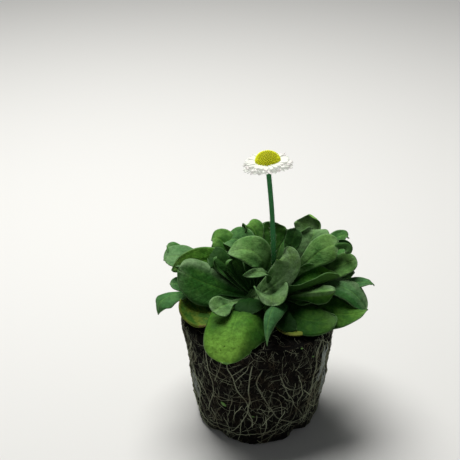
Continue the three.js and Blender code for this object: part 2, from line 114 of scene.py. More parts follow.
def show_piece(name, mesh, finishes, node, smooth=True):
    """Puts a finished mesh in the scene in place of a CAD node."""
    mesh.name = name
    for finish in finishes:
        mesh.materials.append(finish)
    mesh.polygons.foreach_set("use_smooth", [smooth] * len(mesh.polygons))
    piece = bpy.data.objects.new(name, mesh)
    bpy.context.scene.collection.objects.link(piece)
    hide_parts(node)
    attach(piece, "root")
    return piece


def spin_profile(shape, profile, steps):
    """Turns a profile of (radius, height) places right round the upright axis."""
    verts = [shape.verts.new((radius, 0, height)) for radius, height in profile]
    edges = [shape.edges.new(pair) for pair in zip(verts, verts[1:])]
    bmesh.ops.spin(shape, geom=verts + edges, cent=(0, 0, 0), axis=UP, angle=TURN,
                   steps=steps, use_merge=True, use_duplicate=False)
    bmesh.ops.remove_doubles(shape, verts=shape.verts[:], dist=1e-5)


def sheet_verts(shape, columns, rows):
    """Adds a sheet of faces and lists its verts, each with its share of the length and its spread.

    The spread is how far across the sheet a vert lies, from -1 to 1.
    """
    grid = bmesh.ops.create_grid(shape, x_segments=columns, y_segments=rows, size=1)
    return [(vert, 0.5 + 0.5 * vert.co.y, vert.co.x) for vert in grid["verts"]]


def close_shape(shape):
    """Fills the open ends and points the faces outwards."""
    bmesh.ops.holes_fill(shape, edges=[edge for edge in shape.edges if edge.is_boundary])
    bmesh.ops.recalc_face_normals(shape, faces=shape.faces[:])


def strands_mesh(strands):
    """Thin tapering tubes. A strand is (places with their radii, shade); the shade is kept on it."""
    curve = bpy.data.curves.new("strands", "CURVE")
    curve.dimensions = "3D"
    curve.bevel_depth = 1
    curve.bevel_resolution = 0
    for places, _ in strands:
        spline = curve.splines.new("POLY")
        spline.points.add(len(places) - 1)
        for point, (place, radius) in zip(spline.points, places):
            point.co = (*place, 1)
            point.radius = radius
    carrier = bpy.data.objects.new("strands", curve)
    bpy.context.scene.collection.objects.link(carrier)
    depsgraph = bpy.context.evaluated_depsgraph_get()
    tubes = bpy.data.meshes.new_from_object(carrier.evaluated_get(depsgraph))
    shape = bmesh.new()
    shape.from_mesh(tubes)
    bpy.data.objects.remove(carrier)
    bpy.data.curves.remove(curve)
    bpy.data.meshes.remove(tubes)
    shades = [shade for places, shade in strands for _ in places]
    sides, rest = divmod(len(shape.verts), len(shades))
    if rest:
        raise RuntimeError("the tubes' sides don't match their points")
    layer = shape.verts.layers.float.new("shade")
    for k, vert in enumerate(shape.verts):
        vert[layer] = shades[k // sides]
    close_shape(shape)
    return mesh_of(shape)


# Materials: shader maths as Python expressions

class Wire:
    """A shader socket that arithmetic can be done on."""

    def __init__(self, finish, socket):
        self.finish = finish
        self.socket = socket

    def math(self, operation, first, second):
        return self.finish.node("ShaderNodeMath", {"operation": operation}, {0: first, 1: second})

    def __add__(self, other):
        return self.math("ADD", self, other)

    def __sub__(self, other):
        return self.math("SUBTRACT", self, other)

    def __rsub__(self, other):
        return self.math("SUBTRACT", other, self)

    def __mul__(self, other):
        return self.math("MULTIPLY", self, other)

    __radd__ = __add__
    __rmul__ = __mul__


class Finish:
    """A material built from nodes around one Principled shader."""

    def __init__(self, name):
        self.material = bpy.data.materials.new(name)
        self.material.use_nodes = True
        self.tree = self.material.node_tree
        self.surface = self.tree.nodes["Principled BSDF"].inputs

    def plug(self, socket, value):
        if isinstance(value, Wire):
            self.tree.links.new(value.socket, socket)
        elif isinstance(value, (tuple, Color)):
            socket.default_value = (*value, 1)
        else:
            socket.default_value = value

    def node(self, kind, settings=None, inputs=None, output=0):
        """Adds a node: its settings first, then the values or wires of its sockets."""
        node = self.tree.nodes.new(kind)
        for key, value in (settings or {}).items():
            setattr(node, key, value)
        for key, value in (inputs or {}).items():
            self.plug(node.inputs[key], value)
        return Wire(self, node.outputs[output])

    def place(self):
        return self.node("ShaderNodeTexCoord", output="Object")

    def level(self):
        """Height above the floor in metres."""
        return self.node("ShaderNodeSeparateXYZ", {}, {0: self.place()}, "Z")

    def noise(self, size, detail=2.0, roughness=0.5):
        """Noise from 0 to 1 whose lumps are about size millimetres wide."""
        inputs = {"Vector": self.place(), "Scale": 1 / (size * MM), "Detail": detail, "Roughness": roughness}
        return self.node("ShaderNodeTexNoise", {}, inputs, "Fac")

    def cells(self, size):
        """Distance from the middles of cells of about size millimetres."""
        inputs = {"Vector": self.place(), "Scale": 1 / (size * MM)}
        return self.node("ShaderNodeTexVoronoi", {}, inputs, "Distance")

    def attribute(self, name, output="Fac"):
        return self.node("ShaderNodeAttribute", {"attribute_name": name}, output=output)

    def channels(self, name):
        color = self.attribute(name, "Color")
        return [self.node("ShaderNodeSeparateColor", {}, {0: color}, k) for k in range(3)]

    def between(self, value, low, high):
        """0 where value is below low, 1 where it is above high, smooth between."""
        inputs = {"Value": value, "From Min": low, "From Max": high}
        return self.node("ShaderNodeMapRange", {"interpolation_type": "SMOOTHSTEP"}, inputs)

    def mix(self, factor, first, second, blend="MIX"):
        settings = {"data_type": "RGBA", "blend_type": blend, "clamp_factor": True}
        return self.node("ShaderNodeMix", settings, {0: factor, 6: first, 7: second}, 2)

    def bump(self, height, depth, normal=None):
        """Relief of depth millimetres."""
        inputs = {"Height": height, "Distance": depth * MM, "Strength": 1.0}
        if normal is not None:
            inputs["Normal"] = normal
        return self.node("ShaderNodeBump", {}, inputs)

    def finish(self, color, roughness, normal=None, specular=0.5, painted_glow=0.0):
        """Sets the shader up. Its glow is painted light: how strongly the surface gives off its own colour.
        """
        self.plug(self.surface["Base Color"], color)
        self.plug(self.surface["Roughness"], roughness)
        self.plug(self.surface["Specular IOR Level"], specular)
        if normal is not None:
            self.plug(self.surface["Normal"], normal)
        if painted_glow:
            self.plug(self.surface["Emission Color"], color)
            self.plug(self.surface["Emission Strength"], painted_glow)
        return self.material


# Settings that a user would change

def color_setting(name, description, default):
    return FloatVectorProperty(name=name, description=description, default=default,
                               subtype="COLOR", size=3, min=0, max=1)


class LeafSettings(bpy.types.PropertyGroup):
    thickness: FloatProperty(name="Thickness", description="Thickness of a blade",
                             default=0.00045, unit="LENGTH", min=0.0002, max=0.0006)
    rib_depth: FloatProperty(name="Rib depth", description="Depth of the groove over the midrib",
                             default=0.00035, unit="LENGTH", min=0, max=0.001)
    green: color_setting("Green", "Colour of a full-grown leaf", (0.024, 0.104, 0.008))
    # The fresh green is partly a young leaf's colour and partly painted light on sunlit leaves.
    fresh: color_setting("Fresh green", "Colour of a young or sunlit leaf", (0.23, 0.47, 0.065))
    teal: color_setting("Teal", "Colour of a leaf with a blue bloom", (0.045, 0.15, 0.05))
    # The pale colour is the lighter green of veins, rims and undersides; on the blades it is also painted
    # sheen, and along the rims partly painted highlight.
    pale: color_setting("Wax", "Colour of the waxy bloom and the rims", (0.18, 0.30, 0.14))
    # Painted shade: the deep green darkens leaves where shade falls deep in the rosette; it also colours dark
    # specks and the crown.
    shade: color_setting("Deep green", "Colour deep in the rosette", (0.004, 0.025, 0.003))
    yellow: color_setting("Old yellow", "Colour of a withering leaf", (0.19, 0.23, 0.028))
    brown: color_setting("Old brown", "Colour of a withered patch", (0.15, 0.105, 0.045))


class SoilSettings(bpy.types.PropertyGroup):
    crumb: FloatProperty(name="Crumb", description="Height of the coarse crumbs",
                         default=0.0009, unit="LENGTH", min=0, max=0.003)
    # The soil is darker in the hollows between the crumbs, as painted shade, and lighter on their tops.
    dark: color_setting("Dark soil", "Colour in the hollows", (0.0025, 0.0021, 0.0017))
    light: color_setting("Light soil", "Colour of the crumbs' tops", (0.018, 0.0135, 0.009))
    clods: IntProperty(name="Clods", description="Loose clods on the soil", default=800, min=0, max=1500)


class RootSettings(bpy.types.PropertyGroup):
    fine: IntProperty(name="Rootlets", description="Number of hair-fine rootlets",
                      default=2600, min=0, max=4000)
    middling: IntProperty(name="Side roots", description="Number of middling roots",
                          default=260, min=0, max=1000)
    dark: color_setting("Dark root", "Colour of a buried or old root", (0.014, 0.011, 0.006))
    light: color_setting("Light root", "Colour of a clean young root", (0.42, 0.46, 0.31))
    brown: color_setting("Brown root", "Colour of an older root", (0.10, 0.075, 0.04))


class FlowerSettings(bpy.types.PropertyGroup):
    petals: IntProperty(name="Petals", description="Petals in each of the two full layers",
                        default=34, min=12, max=60)
    florets: IntProperty(name="Florets", description="Florets on the disc", default=340, min=60, max=600)
    white: color_setting("White", "Colour of the petals", (0.48, 0.49, 0.45))
    blush: color_setting("Blush", "Tint at some of the petals' tips", (0.46, 0.38, 0.40))
    disc_yellow: color_setting("Yellow", "Colour of the open florets", (0.90, 0.95, 0.006))
    disc_olive: color_setting("Olive", "Colour between the florets", (0.40, 0.42, 0.005))
    stalk_green: color_setting("Stalk", "Colour of the flower stalk", (0.050, 0.300, 0.080))
    hairs: IntProperty(name="Hairs", description="Hairs on the stalk", default=520, min=0, max=2000)


class StageSettings(bpy.types.PropertyGroup):
    floor: color_setting("Floor", "Colour of the plain floor", (0.7, 0.7, 0.69))
    key: FloatProperty(name="Key light", description="Power of the large light overhead",
                       default=11, min=0, unit="POWER")
    sky: FloatProperty(name="Sky", description="Strength of the even light all round",
                       default=0.06, min=0, subtype="FACTOR", max=5)


# Root ball: the CAD's form, with crumbs on it

BALL_HEIGHT = 65
BALL_TOP_RADIUS = 40.8
BALL_FOOT_RADIUS = 33.2
BALL_MEAN_RADIUS = 37
BALL_TOP_EDGE = 3
BALL_FOOT_EDGE = 2.8
# Lumps of the side: waves round it, their slant, where they start, and their height
BALL_WAVES = [(3, 0.06, 0, 0.42), (7, -0.17, 1, 0.385), (12, 0.31, 2, 0.28)]
SOIL_DOME = 1.2
SOIL_RIPPLE = 0.45
# Crumbled places: degrees round from +X, height, depth, reach
NICKS = [(-48, 1, 3.5, 9), (-128, 2, 2, 8), (75, 1, 2.5, 9), (170, 60, 1.8, 8), (-30, 64, 1.6, 7)]

COARSE_CRUMB = 3.4
FINE_CRUMB = 1.5
LUMP_SIZE = 7
# Crumbs stand out where they are higher than this share, and lie in the ball where they are lower
CRUMB_LEVEL = 0.75
# How much higher the crumbs are on the ball's top than on its side
TOP_CRUMB = 2
# Depth of the hollows in the foot, which are where the crumbs are lower than this
FOOT_HOLLOW = 0.7
FOOT_HOLLOW_LEVEL = 0.45
BALL_COLUMNS = 300
UNDER_RINGS = 9
TOP_RINGS = 46
FOOT_HEIGHTS = [0.0, 0.35, 0.8, 1.4]
SIDE_HEIGHTS = [2.1 + 0.78 * k for k in range(79)]
RIM_HEIGHTS = [63.5, 64.1, 64.5]

CLOD_SEED = 21
CLOD_SIZES = (0.35, 1.0)
CLODS_ON_TOP = 0.75
CLOD_REACH = 39
CLOD_HEIGHTS = (3, 63)
# How deep a clod sits in the soil's top and side, as a share of its size, and how flat it is
CLOD_SUNK = (0.35, 0.55)
CLOD_FLATNESS = 0.7
# Bits of leaf stuck to the ball: degrees round from the front, height, length
GREEN_FLECKS = [
    (-28, 26.5, 3.4),
    (46, 54, 1.6),
    (33, 63.5, 1.4),
    (-3, 21, 1.2),
    (118, 38, 2.4),
    (-150, 30, 2),
]
# Half thickness of a bit of leaf, half its longer and its shorter side by its length, and its tilt
FLECK_THICKNESS = 0.25
FLECK_SHARES = (0.55, 0.28)
FLECK_TILT = Quaternion((1, 0, 0), -0.5)
FLECK_GREEN = (0.24, 0.52, 0.10)
FIBRE_BROWN = (0.045, 0.032, 0.02)
# Heights in metres between which the look of the side goes over into that of the top, which is darkened by
# painted shade
TOP_LOOK_LEVELS = (0.0600, 0.0645)


def ball_radius(angle, height):
    """Radius of the root ball with its lumps and its crumbled places, but without crumbs."""
    taper = lerp(BALL_FOOT_RADIUS, BALL_TOP_RADIUS, height / BALL_HEIGHT)
    radius = taper
    for waves, slant, start, lump in BALL_WAVES:
        radius += lump * math.sin(waves * angle + slant * height + start)
    for degrees, at_height, depth, reach in NICKS:
        turn = angle - math.radians(degrees)
        turn = math.atan2(math.sin(turn), math.cos(turn))
        away = math.hypot(turn * taper, height - at_height) / reach
        radius -= depth * math.exp(-3 * away * away)
    return radius


def soil_top(x, y):
    """Height of the soil's rippled top."""
    dome = SOIL_DOME * (1 - (x * x + y * y) / BALL_TOP_RADIUS ** 2)
    return BALL_HEIGHT + dome + SOIL_RIPPLE * math.sin(0.45 * x + 0.3) * math.sin(0.4 * y + 1)


def edge_inset(height):
    """How far the rounded edges at the foot and at the top draw the side in."""
    low = height < BALL_HEIGHT / 2
    edge = BALL_FOOT_EDGE if low else BALL_TOP_EDGE
    into = max(0.0, 1 - (height if low else BALL_HEIGHT - height) / edge)
    return edge * (1 - math.sqrt(1 - into * into))


def clods_at(place):
    """Height of the crumbs at a place, from 0 in the cracks to 1 on the clods."""
    near, second = noise.voronoi(place)[0][:2]
    return min(1.0, 1.7 * (second - near))


def crumbs_at(x, y, z):
    """Height of coarse and fine crumbs together, from about 0 to 1."""
    place = Vector((x, y, z))
    coarse = clods_at(place / COARSE_CRUMB)
    fine = clods_at(place / FINE_CRUMB + Vector((31, 7, 3)))
    return 0.6 * coarse + 0.3 * fine + 0.25 * noise.noise(place / LUMP_SIZE)


def crumb_relief(crumbs):
    """How far crumbs of that height stand out of the ball, in millimetres."""
    return bpy.context.scene.daisy_soil.crumb / MM * (crumbs - CRUMB_LEVEL)


def ball_place(angle, height, lift):
    """A place on the side of the crumbly root ball, lifted off it by so many millimetres."""
    radius = ball_radius(angle, height) - edge_inset(height)
    place = polar(radius, angle, height)
    return polar(radius + crumb_relief(crumbs_at(*place)) + lift, angle, height)


def ball_rings():
    """The rings of the root ball from under it to its top: share of the radius, height, and part."""
    rings = [(k / UNDER_RINGS, 0.0, "under") for k in range(UNDER_RINGS)]
    rings += [(1.0, height, "side") for height in FOOT_HEIGHTS + SIDE_HEIGHTS + RIM_HEIGHTS]
    rings += [(1 - (k + 1) / TOP_RINGS, BALL_HEIGHT, "top") for k in range(TOP_RINGS)]
    return rings


def soil_mesh():
    """The root ball, spun from a profile of rings and then crumbled."""
    rings = ball_rings()
    shape = bmesh.new()
    spin_profile(shape, [(share, k) for k, (share, _, _) in enumerate(rings)], BALL_COLUMNS)
    relief = shape.verts.layers.float.new("relief")
    for vert in shape.verts:
        share, height, part = rings[round(vert.co.z)]
        angle = math.atan2(vert.co.y, vert.co.x)
        radius = share * (ball_radius(angle, height) - edge_inset(height))
        x, y, _ = polar(radius, angle)
        crumbs = crumbs_at(x, y, height if part == "side" else 0)
        vert[relief] = crumbs
        if part == "side":
            radius += crumb_relief(crumbs) * smoothstep(height, -1, 3)
        elif part == "top":
            height = soil_top(x, y) + TOP_CRUMB * crumb_relief(crumbs)
        else:
            hollow = max(0.0, FOOT_HOLLOW_LEVEL - crumbs)
            height = FOOT_HOLLOW * hollow * smoothstep(1 - share, 0.05, 0.2)
        vert.co = polar(radius, angle, height)
    bmesh.ops.recalc_face_normals(shape, faces=shape.faces[:])
    return mesh_of(shape)


def clods_mesh():
    """Loose clods on the soil and along its rim."""
    dice = random.Random(CLOD_SEED)
    shape = bmesh.new()
    relief = shape.verts.layers.float.new("relief")
    for _ in range(bpy.context.scene.daisy_soil.clods):
        angle = TURN * dice.random()
        size = dice.uniform(*CLOD_SIZES)
        if dice.random() < CLODS_ON_TOP:
            place = polar(CLOD_REACH * math.sqrt(dice.random()), angle)
            place.z = soil_top(place.x, place.y) - CLOD_SUNK[0] * size
        else:
            place = ball_place(angle, dice.uniform(*CLOD_HEIGHTS), -CLOD_SUNK[1] * size)
        turn = Quaternion([dice.gauss(0, 1) for _ in range(4)]).normalized()
        made = bmesh.ops.create_icosphere(shape, subdivisions=1, radius=size)
        for vert in made["verts"]:
            vert.co *= 0.75 + 0.5 * noise.noise(vert.co + 9 * place)
            vert.co = place + turn @ Vector((vert.co.x, vert.co.y, CLOD_FLATNESS * vert.co.z))
            vert[relief] = 0.9
    return mesh_of(shape)


def flecks_mesh():
    """Bits of green leaf stuck to the soil."""
    shape = bmesh.new()
    for degrees, height, length in GREEN_FLECKS:
        angle = math.radians(degrees - 90)
        made = bmesh.ops.create_icosphere(shape, subdivisions=2, radius=1)
        for vert in made["verts"]:
            wide, high = [share * length for share in FLECK_SHARES]
            local = Vector((FLECK_THICKNESS * vert.co.x, wide * vert.co.y, high * vert.co.z))
            turned = FLECK_TILT @ local
            vert.co = ball_place(angle, height, 0.3) + Quaternion(UP, angle) @ turned
    return mesh_of(shape)


def fleck_finish():
    settings = bpy.context.scene.daisy_leaves
    fleck = Finish("green_fleck")
    return fleck.finish(fleck.mix(fleck.noise(1, 2), settings.green, FLECK_GREEN), 0.6)


def soil_finish():
    settings = bpy.context.scene.daisy_soil
    soil = Finish("damp_soil")
    relief = soil.attribute("relief")
    grain = soil.noise(0.5, 4, 0.7)
    patches = soil.noise(9, 3)
    height = soil.between(relief, 0.15, 0.95)
    top = soil.between(soil.level(), *TOP_LOOK_LEVELS)
    # Painted shade: the lower the crumbs' relief, the darker the soil, so its hollows are dark.
    side_tone = height * 0.55 + grain * 0.5 + patches * 0.5 - 0.45
    # The top has more contrast and is darker on average, partly painted shade under the leaves.
    tone = side_tone + top * (grain * 1.4 + height * 0.9 - 1.35)
    color = soil.mix(tone, settings.dark, settings.light)
    fibres = soil.noise(1.3, 5, 0.75)
    color = soil.mix(soil.between(fibres, 0.62, 0.72), color, FIBRE_BROWN)
    # Painted shade on the soil's top, which lies under the leaves.
    color = soil.mix(top * 0.3, color, settings.dark)
    normal = soil.bump(soil.noise(0.35, 4, 0.75), 0.35)
    normal = soil.bump(soil.cells(0.9), 0.3, normal)
    roughness = 0.98 - 0.35 * soil.between(soil.noise(2.5, 2), 0.55, 0.8)
    return soil.finish(color, roughness, normal, specular=0.1)


# Roots over the side. A place is (degrees round from the front, height), rightwards positive.
MAIN_ROOTS = [
    [(-3, 58), (-7, 42), (-6, 30), (-14, 15), (-28, 4)],
    [(4, 54), (0, 44), (12, 25), (22, 17), (50, 6)],
    [(16, 50), (24, 37), (38, 20), (60, 4)],
    [(-24, 56), (-16, 39), (-8, 30), (-2, 14)],
    [(52, 61), (50, 47), (50, 30), (49, 15), (40, 5)],
    [(62, 60), (66, 44), (58, 28), (62, 10)],
    [(-80, 58), (-70, 47), (-66, 35), (-63, 18), (-74, 5)],
    [(-42, 60), (-39, 45), (-39, 30), (-50, 12)],
]
MAIN_ROOT_GIRTH = (0.26, 0.42)
MAIN_ROOT_STEPS = 9
# Roots round the foot: where they start and end in degrees, and their height
RING_ROOTS = [(-112, 66, 9), (50, 262, 12)]
RING_SPACING = 14
RING_WAVE = 3
WANDERING_ROOTS = 15
WANDERING_FROM = 68
WANDERING_TURN = 250
WANDERING_STEP = 8.5
WANDERING_LOWEST = 1.8
WANDERING_SEED = 5

# Thin roots: least and greatest radius and length, how high they arch, and how pale they can be,
# from 0 for a soiled root to 1 for a clean one
RootKind = namedtuple("RootKind", "girth length lift shades")
SIDE_ROOT = RootKind((0.12, 0.25), (9, 24), 0.4, (0.2, 0.6, 1.0, 1.4))
ROOTLET = RootKind((0.06, 0.14), (4, 12), 0.35, (0.1, 0.2, 0.4, 1.2))
ROOTLET_HEIGHTS = (0.6, 64.4)
ROOTLET_STRIDE = 2.1
ROOT_SEED = 12

TOP_ROOTLETS = 150
TOP_ROOTLET_GIRTH = (0.08, 0.2)
TOP_ROOTLET_STEPS = 6
TOP_ROOTLET_STRIDE = 1.5
TOP_ROOTLET_LIFT = 0.45
# How far from the middle they start at most, and how far they reach
TOP_ROOTLET_START = 37
TOP_ROOTLET_REACH = 38

# Bundles of pale roots: degrees round from the front, greatest and least height, number of roots
PALE_BUNDLES = [(61, 59, 27, 15), (-64, 38, 12, 7), (70, 40, 16, 8)]
PALE_ROOT_GIRTH = 0.17
PALE_ROOT_STEPS = 12
PALE_ROOT_LIFT = 0.45
PALE_ROOT_SEED = 6
PALE_ROOT_DULL = (0.26, 0.29, 0.25)
PALE_ROOT_CLEAN = (0.62, 0.68, 0.64)


def ring_places(start, end, height):
    """Places of a root that lies round the foot in waves."""
    points = math.floor((end - start) / RING_SPACING + 0.5)
    places = []
    for k in range(points + 1):
        degrees = lerp(start, end, k / points)
        places.append((degrees, height + RING_WAVE * math.sin(math.radians(2.3 * degrees))))
    return places


def wandering_places(index, dice):
    """Places of a root that wanders down the back."""
    degrees = WANDERING_FROM + index * WANDERING_TURN / WANDERING_ROOTS + 6 * next(dice)
    drift = 14 * (next(dice) - 0.5)
    height = 46 + 16 * next(dice)
    places = []
    while height > WANDERING_LOWEST:
        places.append((degrees, height))
        degrees += drift
        drift = 0.5 * drift + 16 * (next(dice) - 0.5)
        height -= WANDERING_STEP
    return places


def thick_root_places():
    """Places of all the thick roots, as in the CAD source."""
    dice = repeatable(WANDERING_SEED)
    roots = list(MAIN_ROOTS)
    roots += [ring_places(*ring) for ring in RING_ROOTS]
    roots += [wandering_places(k, dice) for k in range(WANDERING_ROOTS)]
    return roots


def thick_strand(places, dice):
    """A root along its places, thinning towards both ends, which dip into the soil."""
    points = [Vector((degrees, height, 0)) for degrees, height in places]
    steps = MAIN_ROOT_STEPS * (len(points) - 1)
    girth = dice.uniform(*MAIN_ROOT_GIRTH)
    strand = []
    for k in range(steps + 1):
        share = k / steps
        degrees, height, _ = catmull_rom(points, share)
        wobble = noise.noise(Vector((degrees / 9, height / 7, girth * 40)))
        angle = math.radians(degrees - 90 + 1.2 * wobble)
        ends = min(1.0, 9 * share, 7 * (1 - share))
        radius = girth * lerp(0.45, 1.0, ends) * lerp(1.05, 0.75, share)
        lift = lerp(-0.6, 0.45, ends) + 0.15 * wobble
        strand.append((ball_place(angle, max(0.9, height + 0.5 * wobble), lift), radius))
    return strand, dice.uniform(0.5, 0.9)


def rootlet(dice, kind):
    """One thin root that wanders over the side of the root ball."""
    girth = dice.uniform(*kind.girth)
    length = dice.uniform(*kind.length)
    angle = TURN * dice.random()
    aside = abs(math.cos(angle))
    height = start = BALL_HEIGHT * dice.random() ** 0.9 * 0.98
    heading = dice.choice((-1, 1)) * dice.gauss(1.15, 0.55)
    bend = dice.gauss(0, 0.12)
    steps = max(5, round(length / ROOTLET_STRIDE))
    stride = length / steps
    lowest, highest = ROOTLET_HEIGHTS
    strand = []
    for k in range(steps + 1):
        share = k / steps
        rise = kind.lift * math.sin(math.pi * share) ** 0.5 if 0 < share < 1 else -0.25
        radius = girth * (1.1 - 0.75 * share)
        strand.append((ball_place(angle, clamp(height, lowest, highest), rise), radius))
        heading += bend + dice.gauss(0, 0.16)
        angle += stride * math.cos(heading) / BALL_MEAN_RADIUS
        height -= stride * math.sin(heading)
        if not lowest < height < highest:
            heading = -heading
    shade = dice.choice(kind.shades) + dice.gauss(0, 0.1)
    shade = clamp(shade, 0, 1.3) * lerp(1, 0.5, smoothstep(start, 38, 58))
    return strand, shade + 0.4 * smoothstep(aside, 0.5, 0.9)


def top_rootlet(dice):
    """One thin root that wanders over the soil's top near its rim."""
    angle = TURN * dice.random()
    place = polar(TOP_ROOTLET_START * math.sqrt(dice.uniform(0.45, 1)), angle)
    heading = TURN * dice.random()
    girth = dice.uniform(*TOP_ROOTLET_GIRTH)
    strand = []
    for k in range(TOP_ROOTLET_STEPS + 1):
        lift = TOP_ROOTLET_LIFT * math.sin(math.pi * k / TOP_ROOTLET_STEPS)
        on_top = Vector((place.x, place.y, soil_top(place.x, place.y) + lift))
        strand.append((on_top, girth * (1 - 0.1 * k)))
        heading += dice.gauss(0, 0.45)
        place = place + polar(TOP_ROOTLET_STRIDE, heading)
        place *= min(1, TOP_ROOTLET_REACH / place.length)
    return strand, dice.uniform(0.1, 0.7)


def pale_bundles():
    """Bundles of pale young roots that run down the side of the root ball."""
    dice = random.Random(PALE_ROOT_SEED)
    strands = []
    for degrees, high, low, number in PALE_BUNDLES:
        for _ in range(number):
            drift = dice.gauss(0, 1)
            top = high - dice.uniform(0, 9)
            foot = low + dice.uniform(0, 9)
            strand = []
            for k in range(PALE_ROOT_STEPS + 1):
                share = k / PALE_ROOT_STEPS
                angle = math.radians(degrees - 90 + 2 * drift + 1.2 * math.sin(6 * share + 3 * drift))
                lift = PALE_ROOT_LIFT if 0 < k < PALE_ROOT_STEPS else -0.3
                radius = PALE_ROOT_GIRTH * (1 - 0.5 * share)
                strand.append((ball_place(angle, lerp(top, foot, share), lift), radius))
            strands.append((strand, dice.uniform(1.0, 1.6)))
    return strands


def pale_root_finish():
    root = Finish("pale_root")
    return root.finish(root.mix(root.noise(3, 3), PALE_ROOT_DULL, PALE_ROOT_CLEAN), 0.7)


def root_finish():
    settings = bpy.context.scene.daisy_roots
    root = Finish("fibrous_root")
    shade = root.attribute("shade")
    grime = root.noise(2.2, 3, 0.65)
    tone = shade * 1.15 + grime * 1.1 - 0.75
    color = root.mix(tone, settings.dark, settings.light)
    color = root.mix(root.between(root.noise(9, 2), 0.45, 0.7) * 0.6, color, settings.brown)
    normal = root.bump(root.noise(0.4, 3, 0.6), 0.08)
    return root.finish(color, 0.8, normal, specular=0.25)


# Leaves, as in the CAD source: midrib from the crown by way of middle (halfway) to tip, and the
# blade's greatest width. Right and left are as seen from the crown. roll raises the right side, twist
# adds to it towards the tip, cup bends both sides up, and hook is (share of the rib, degrees) by which
# the end bends down from there. fold_left and fold_right are (share of the side, degrees) by which
# a side bends up from there. start is the share of the rib at which the blade starts to widen, blunt
# how square its left and right tip are, sides their widths, base its place on the crown where that is
# given, wave the waves of its margin, tone how yellow (partly a young leaf's colour and partly
# painted light where the leaf is sunlit), how blue and how darkened by painted shade it is, and the
# last field how much a painted sheen lightens its middle, left and right, or where it is below zero,
# how much painted shade darkens them.
Leaf = namedtuple(
    "Leaf",
    "middle tip width roll twist cup hook fold_left fold_right start blunt sides base wave notch tone wax",
    defaults=(0, 0, 0, (1, 0), (1, 0), (1, 0), 0.25, (2.4, 2.4), (1, 1), None, 0.6, 0,
              (0, 0, 0), (0.1, 0.1, 0.1)))

FRONT_LEAVES = [
    Leaf((-11.5, -29.5, 75.5), (-14.5, -45.5, 61.5), 34, cup=-12, fold_left=(0.35, -34),
         fold_right=(0.85, -60), start=-1.2, blunt=(2, 9), sides=(1.25, 0.98), base=(-4.5, -1, 71), wave=0.9,
         tone=(1.5, 0, 0), wax=(-0.05, -0.95, -0.35)),
    Leaf((-14.5, -18, 79.5), (-22.5, -28, 80.5), 12, roll=30, cup=20, start=0.4, tone=(0.5, 0.1, 0),
         wax=(0.5, 0.5, 0.5)),
    Leaf((-4.4, -12, 77), (-4.2, -22, 75), 16, start=0.1, tone=(0, 0, 1)),
    Leaf((6.5, -26, 80.5), (4.4, -42, 70.5), 8, cup=-60, start=-0.5, blunt=(1.2, 1.6), sides=(1.8, 1),
         base=(14, 1, 70), tone=(0, 0.85, 0.15)),
    Leaf((10, -16, 72), (19, -25, 68.5), 13, start=-0.4, tone=(0, 0, 1)),
    Leaf((23.8, -18, 70.5), (39, -18.5, 73), 19, roll=-25, start=-0.4, tone=(0.4, 0, 0.6), wax=(0, 0, 0)),
    Leaf((6, -13, 82), (6.4, -20.5, 80), 21, cup=65, start=0, blunt=(2.2, 2.2), tone=(0.9, 0.1, 0),
         wax=(0.7, 0.7, 0.7)),
]
RIGHT_LEAVES = [
    Leaf((38, -14, 71.7), (55.8, -13.5, 74.3), 22, roll=-24, start=-0.4, blunt=(1.1, 1.1), tone=(0.5, 0, 0.3),
         wax=(0, 0, 0)),
    Leaf((38.5, -3, 82), (55.2, -9.5, 71.6), 14, roll=-15, start=0.05, blunt=(2.4, 4),
         tone=(0, 0.6, 0.1), wax=(0.3, 0.9, -0.5)),
    Leaf((40, -2, 73), (52, -3, 70.5), 12, roll=-10, tone=(0, 0.4, 0.4)),
    Leaf((24, -9.5, 81.2), (38.7, -12, 84.5), 16, fold_right=(0.05, -80), start=0.1, sides=(0.62, 0.85),
         wave=1, tone=(0.4, 0, 0), wax=(0.4, 0.6, -0.8)),
    Leaf((27, -1, 81), (41.3, 1, 85), 25, cup=90, start=-1.2, blunt=(2, 2), wave=1.4, tone=(0.4, 0, 0.3),
         wax=(0, 0, 0)),
    Leaf((21, -4, 75.5), (30, -7, 78), 12, roll=-40, cup=35, start=0.1, tone=(0.1, 0, 0.4)),
    Leaf((28, 8, 92.3), (41, 10.5, 98.3), 20, roll=-40, cup=-15, start=0.15, blunt=(2.4, 3),
         sides=(0.8, 0.8), tone=(0.5, 0, 0), wax=(0.25, 0.25, 0.25)),
    Leaf((25, 14, 94), (28, 21, 101.5), 18, roll=-30, start=0.2, tone=(0.35, 0.1, 0), wax=(0.6, 0.6, 0.6)),
    Leaf((13.8, -7, 91.5), (13.5, 0, 101.8), 13, roll=-30, twist=-50, start=-0.3, blunt=(3.5, 2.4),
         sides=(1.25, 0.9), base=(-4, -1, 71), tone=(1.3, 0, -0.9), wax=(0.75, 0.6, 0.8)),
    Leaf((37.5, 6, 86), (50.5, 8, 90.5), 14, roll=-25, start=-0.2, wave=0.2, tone=(0.3, 0, 0),
         wax=(0.2, 0.2, 0.2)),
    Leaf((36, 5, 81), (49.5, 5, 85), 7, roll=-20, wave=0.2, tone=(0.2, 0.3, 0)),
    Leaf((47, 1, 81), (60, 1, 79.5), 6, roll=-20, start=0.1, blunt=(1, 1), tone=(0, 0.8, 0)),
]
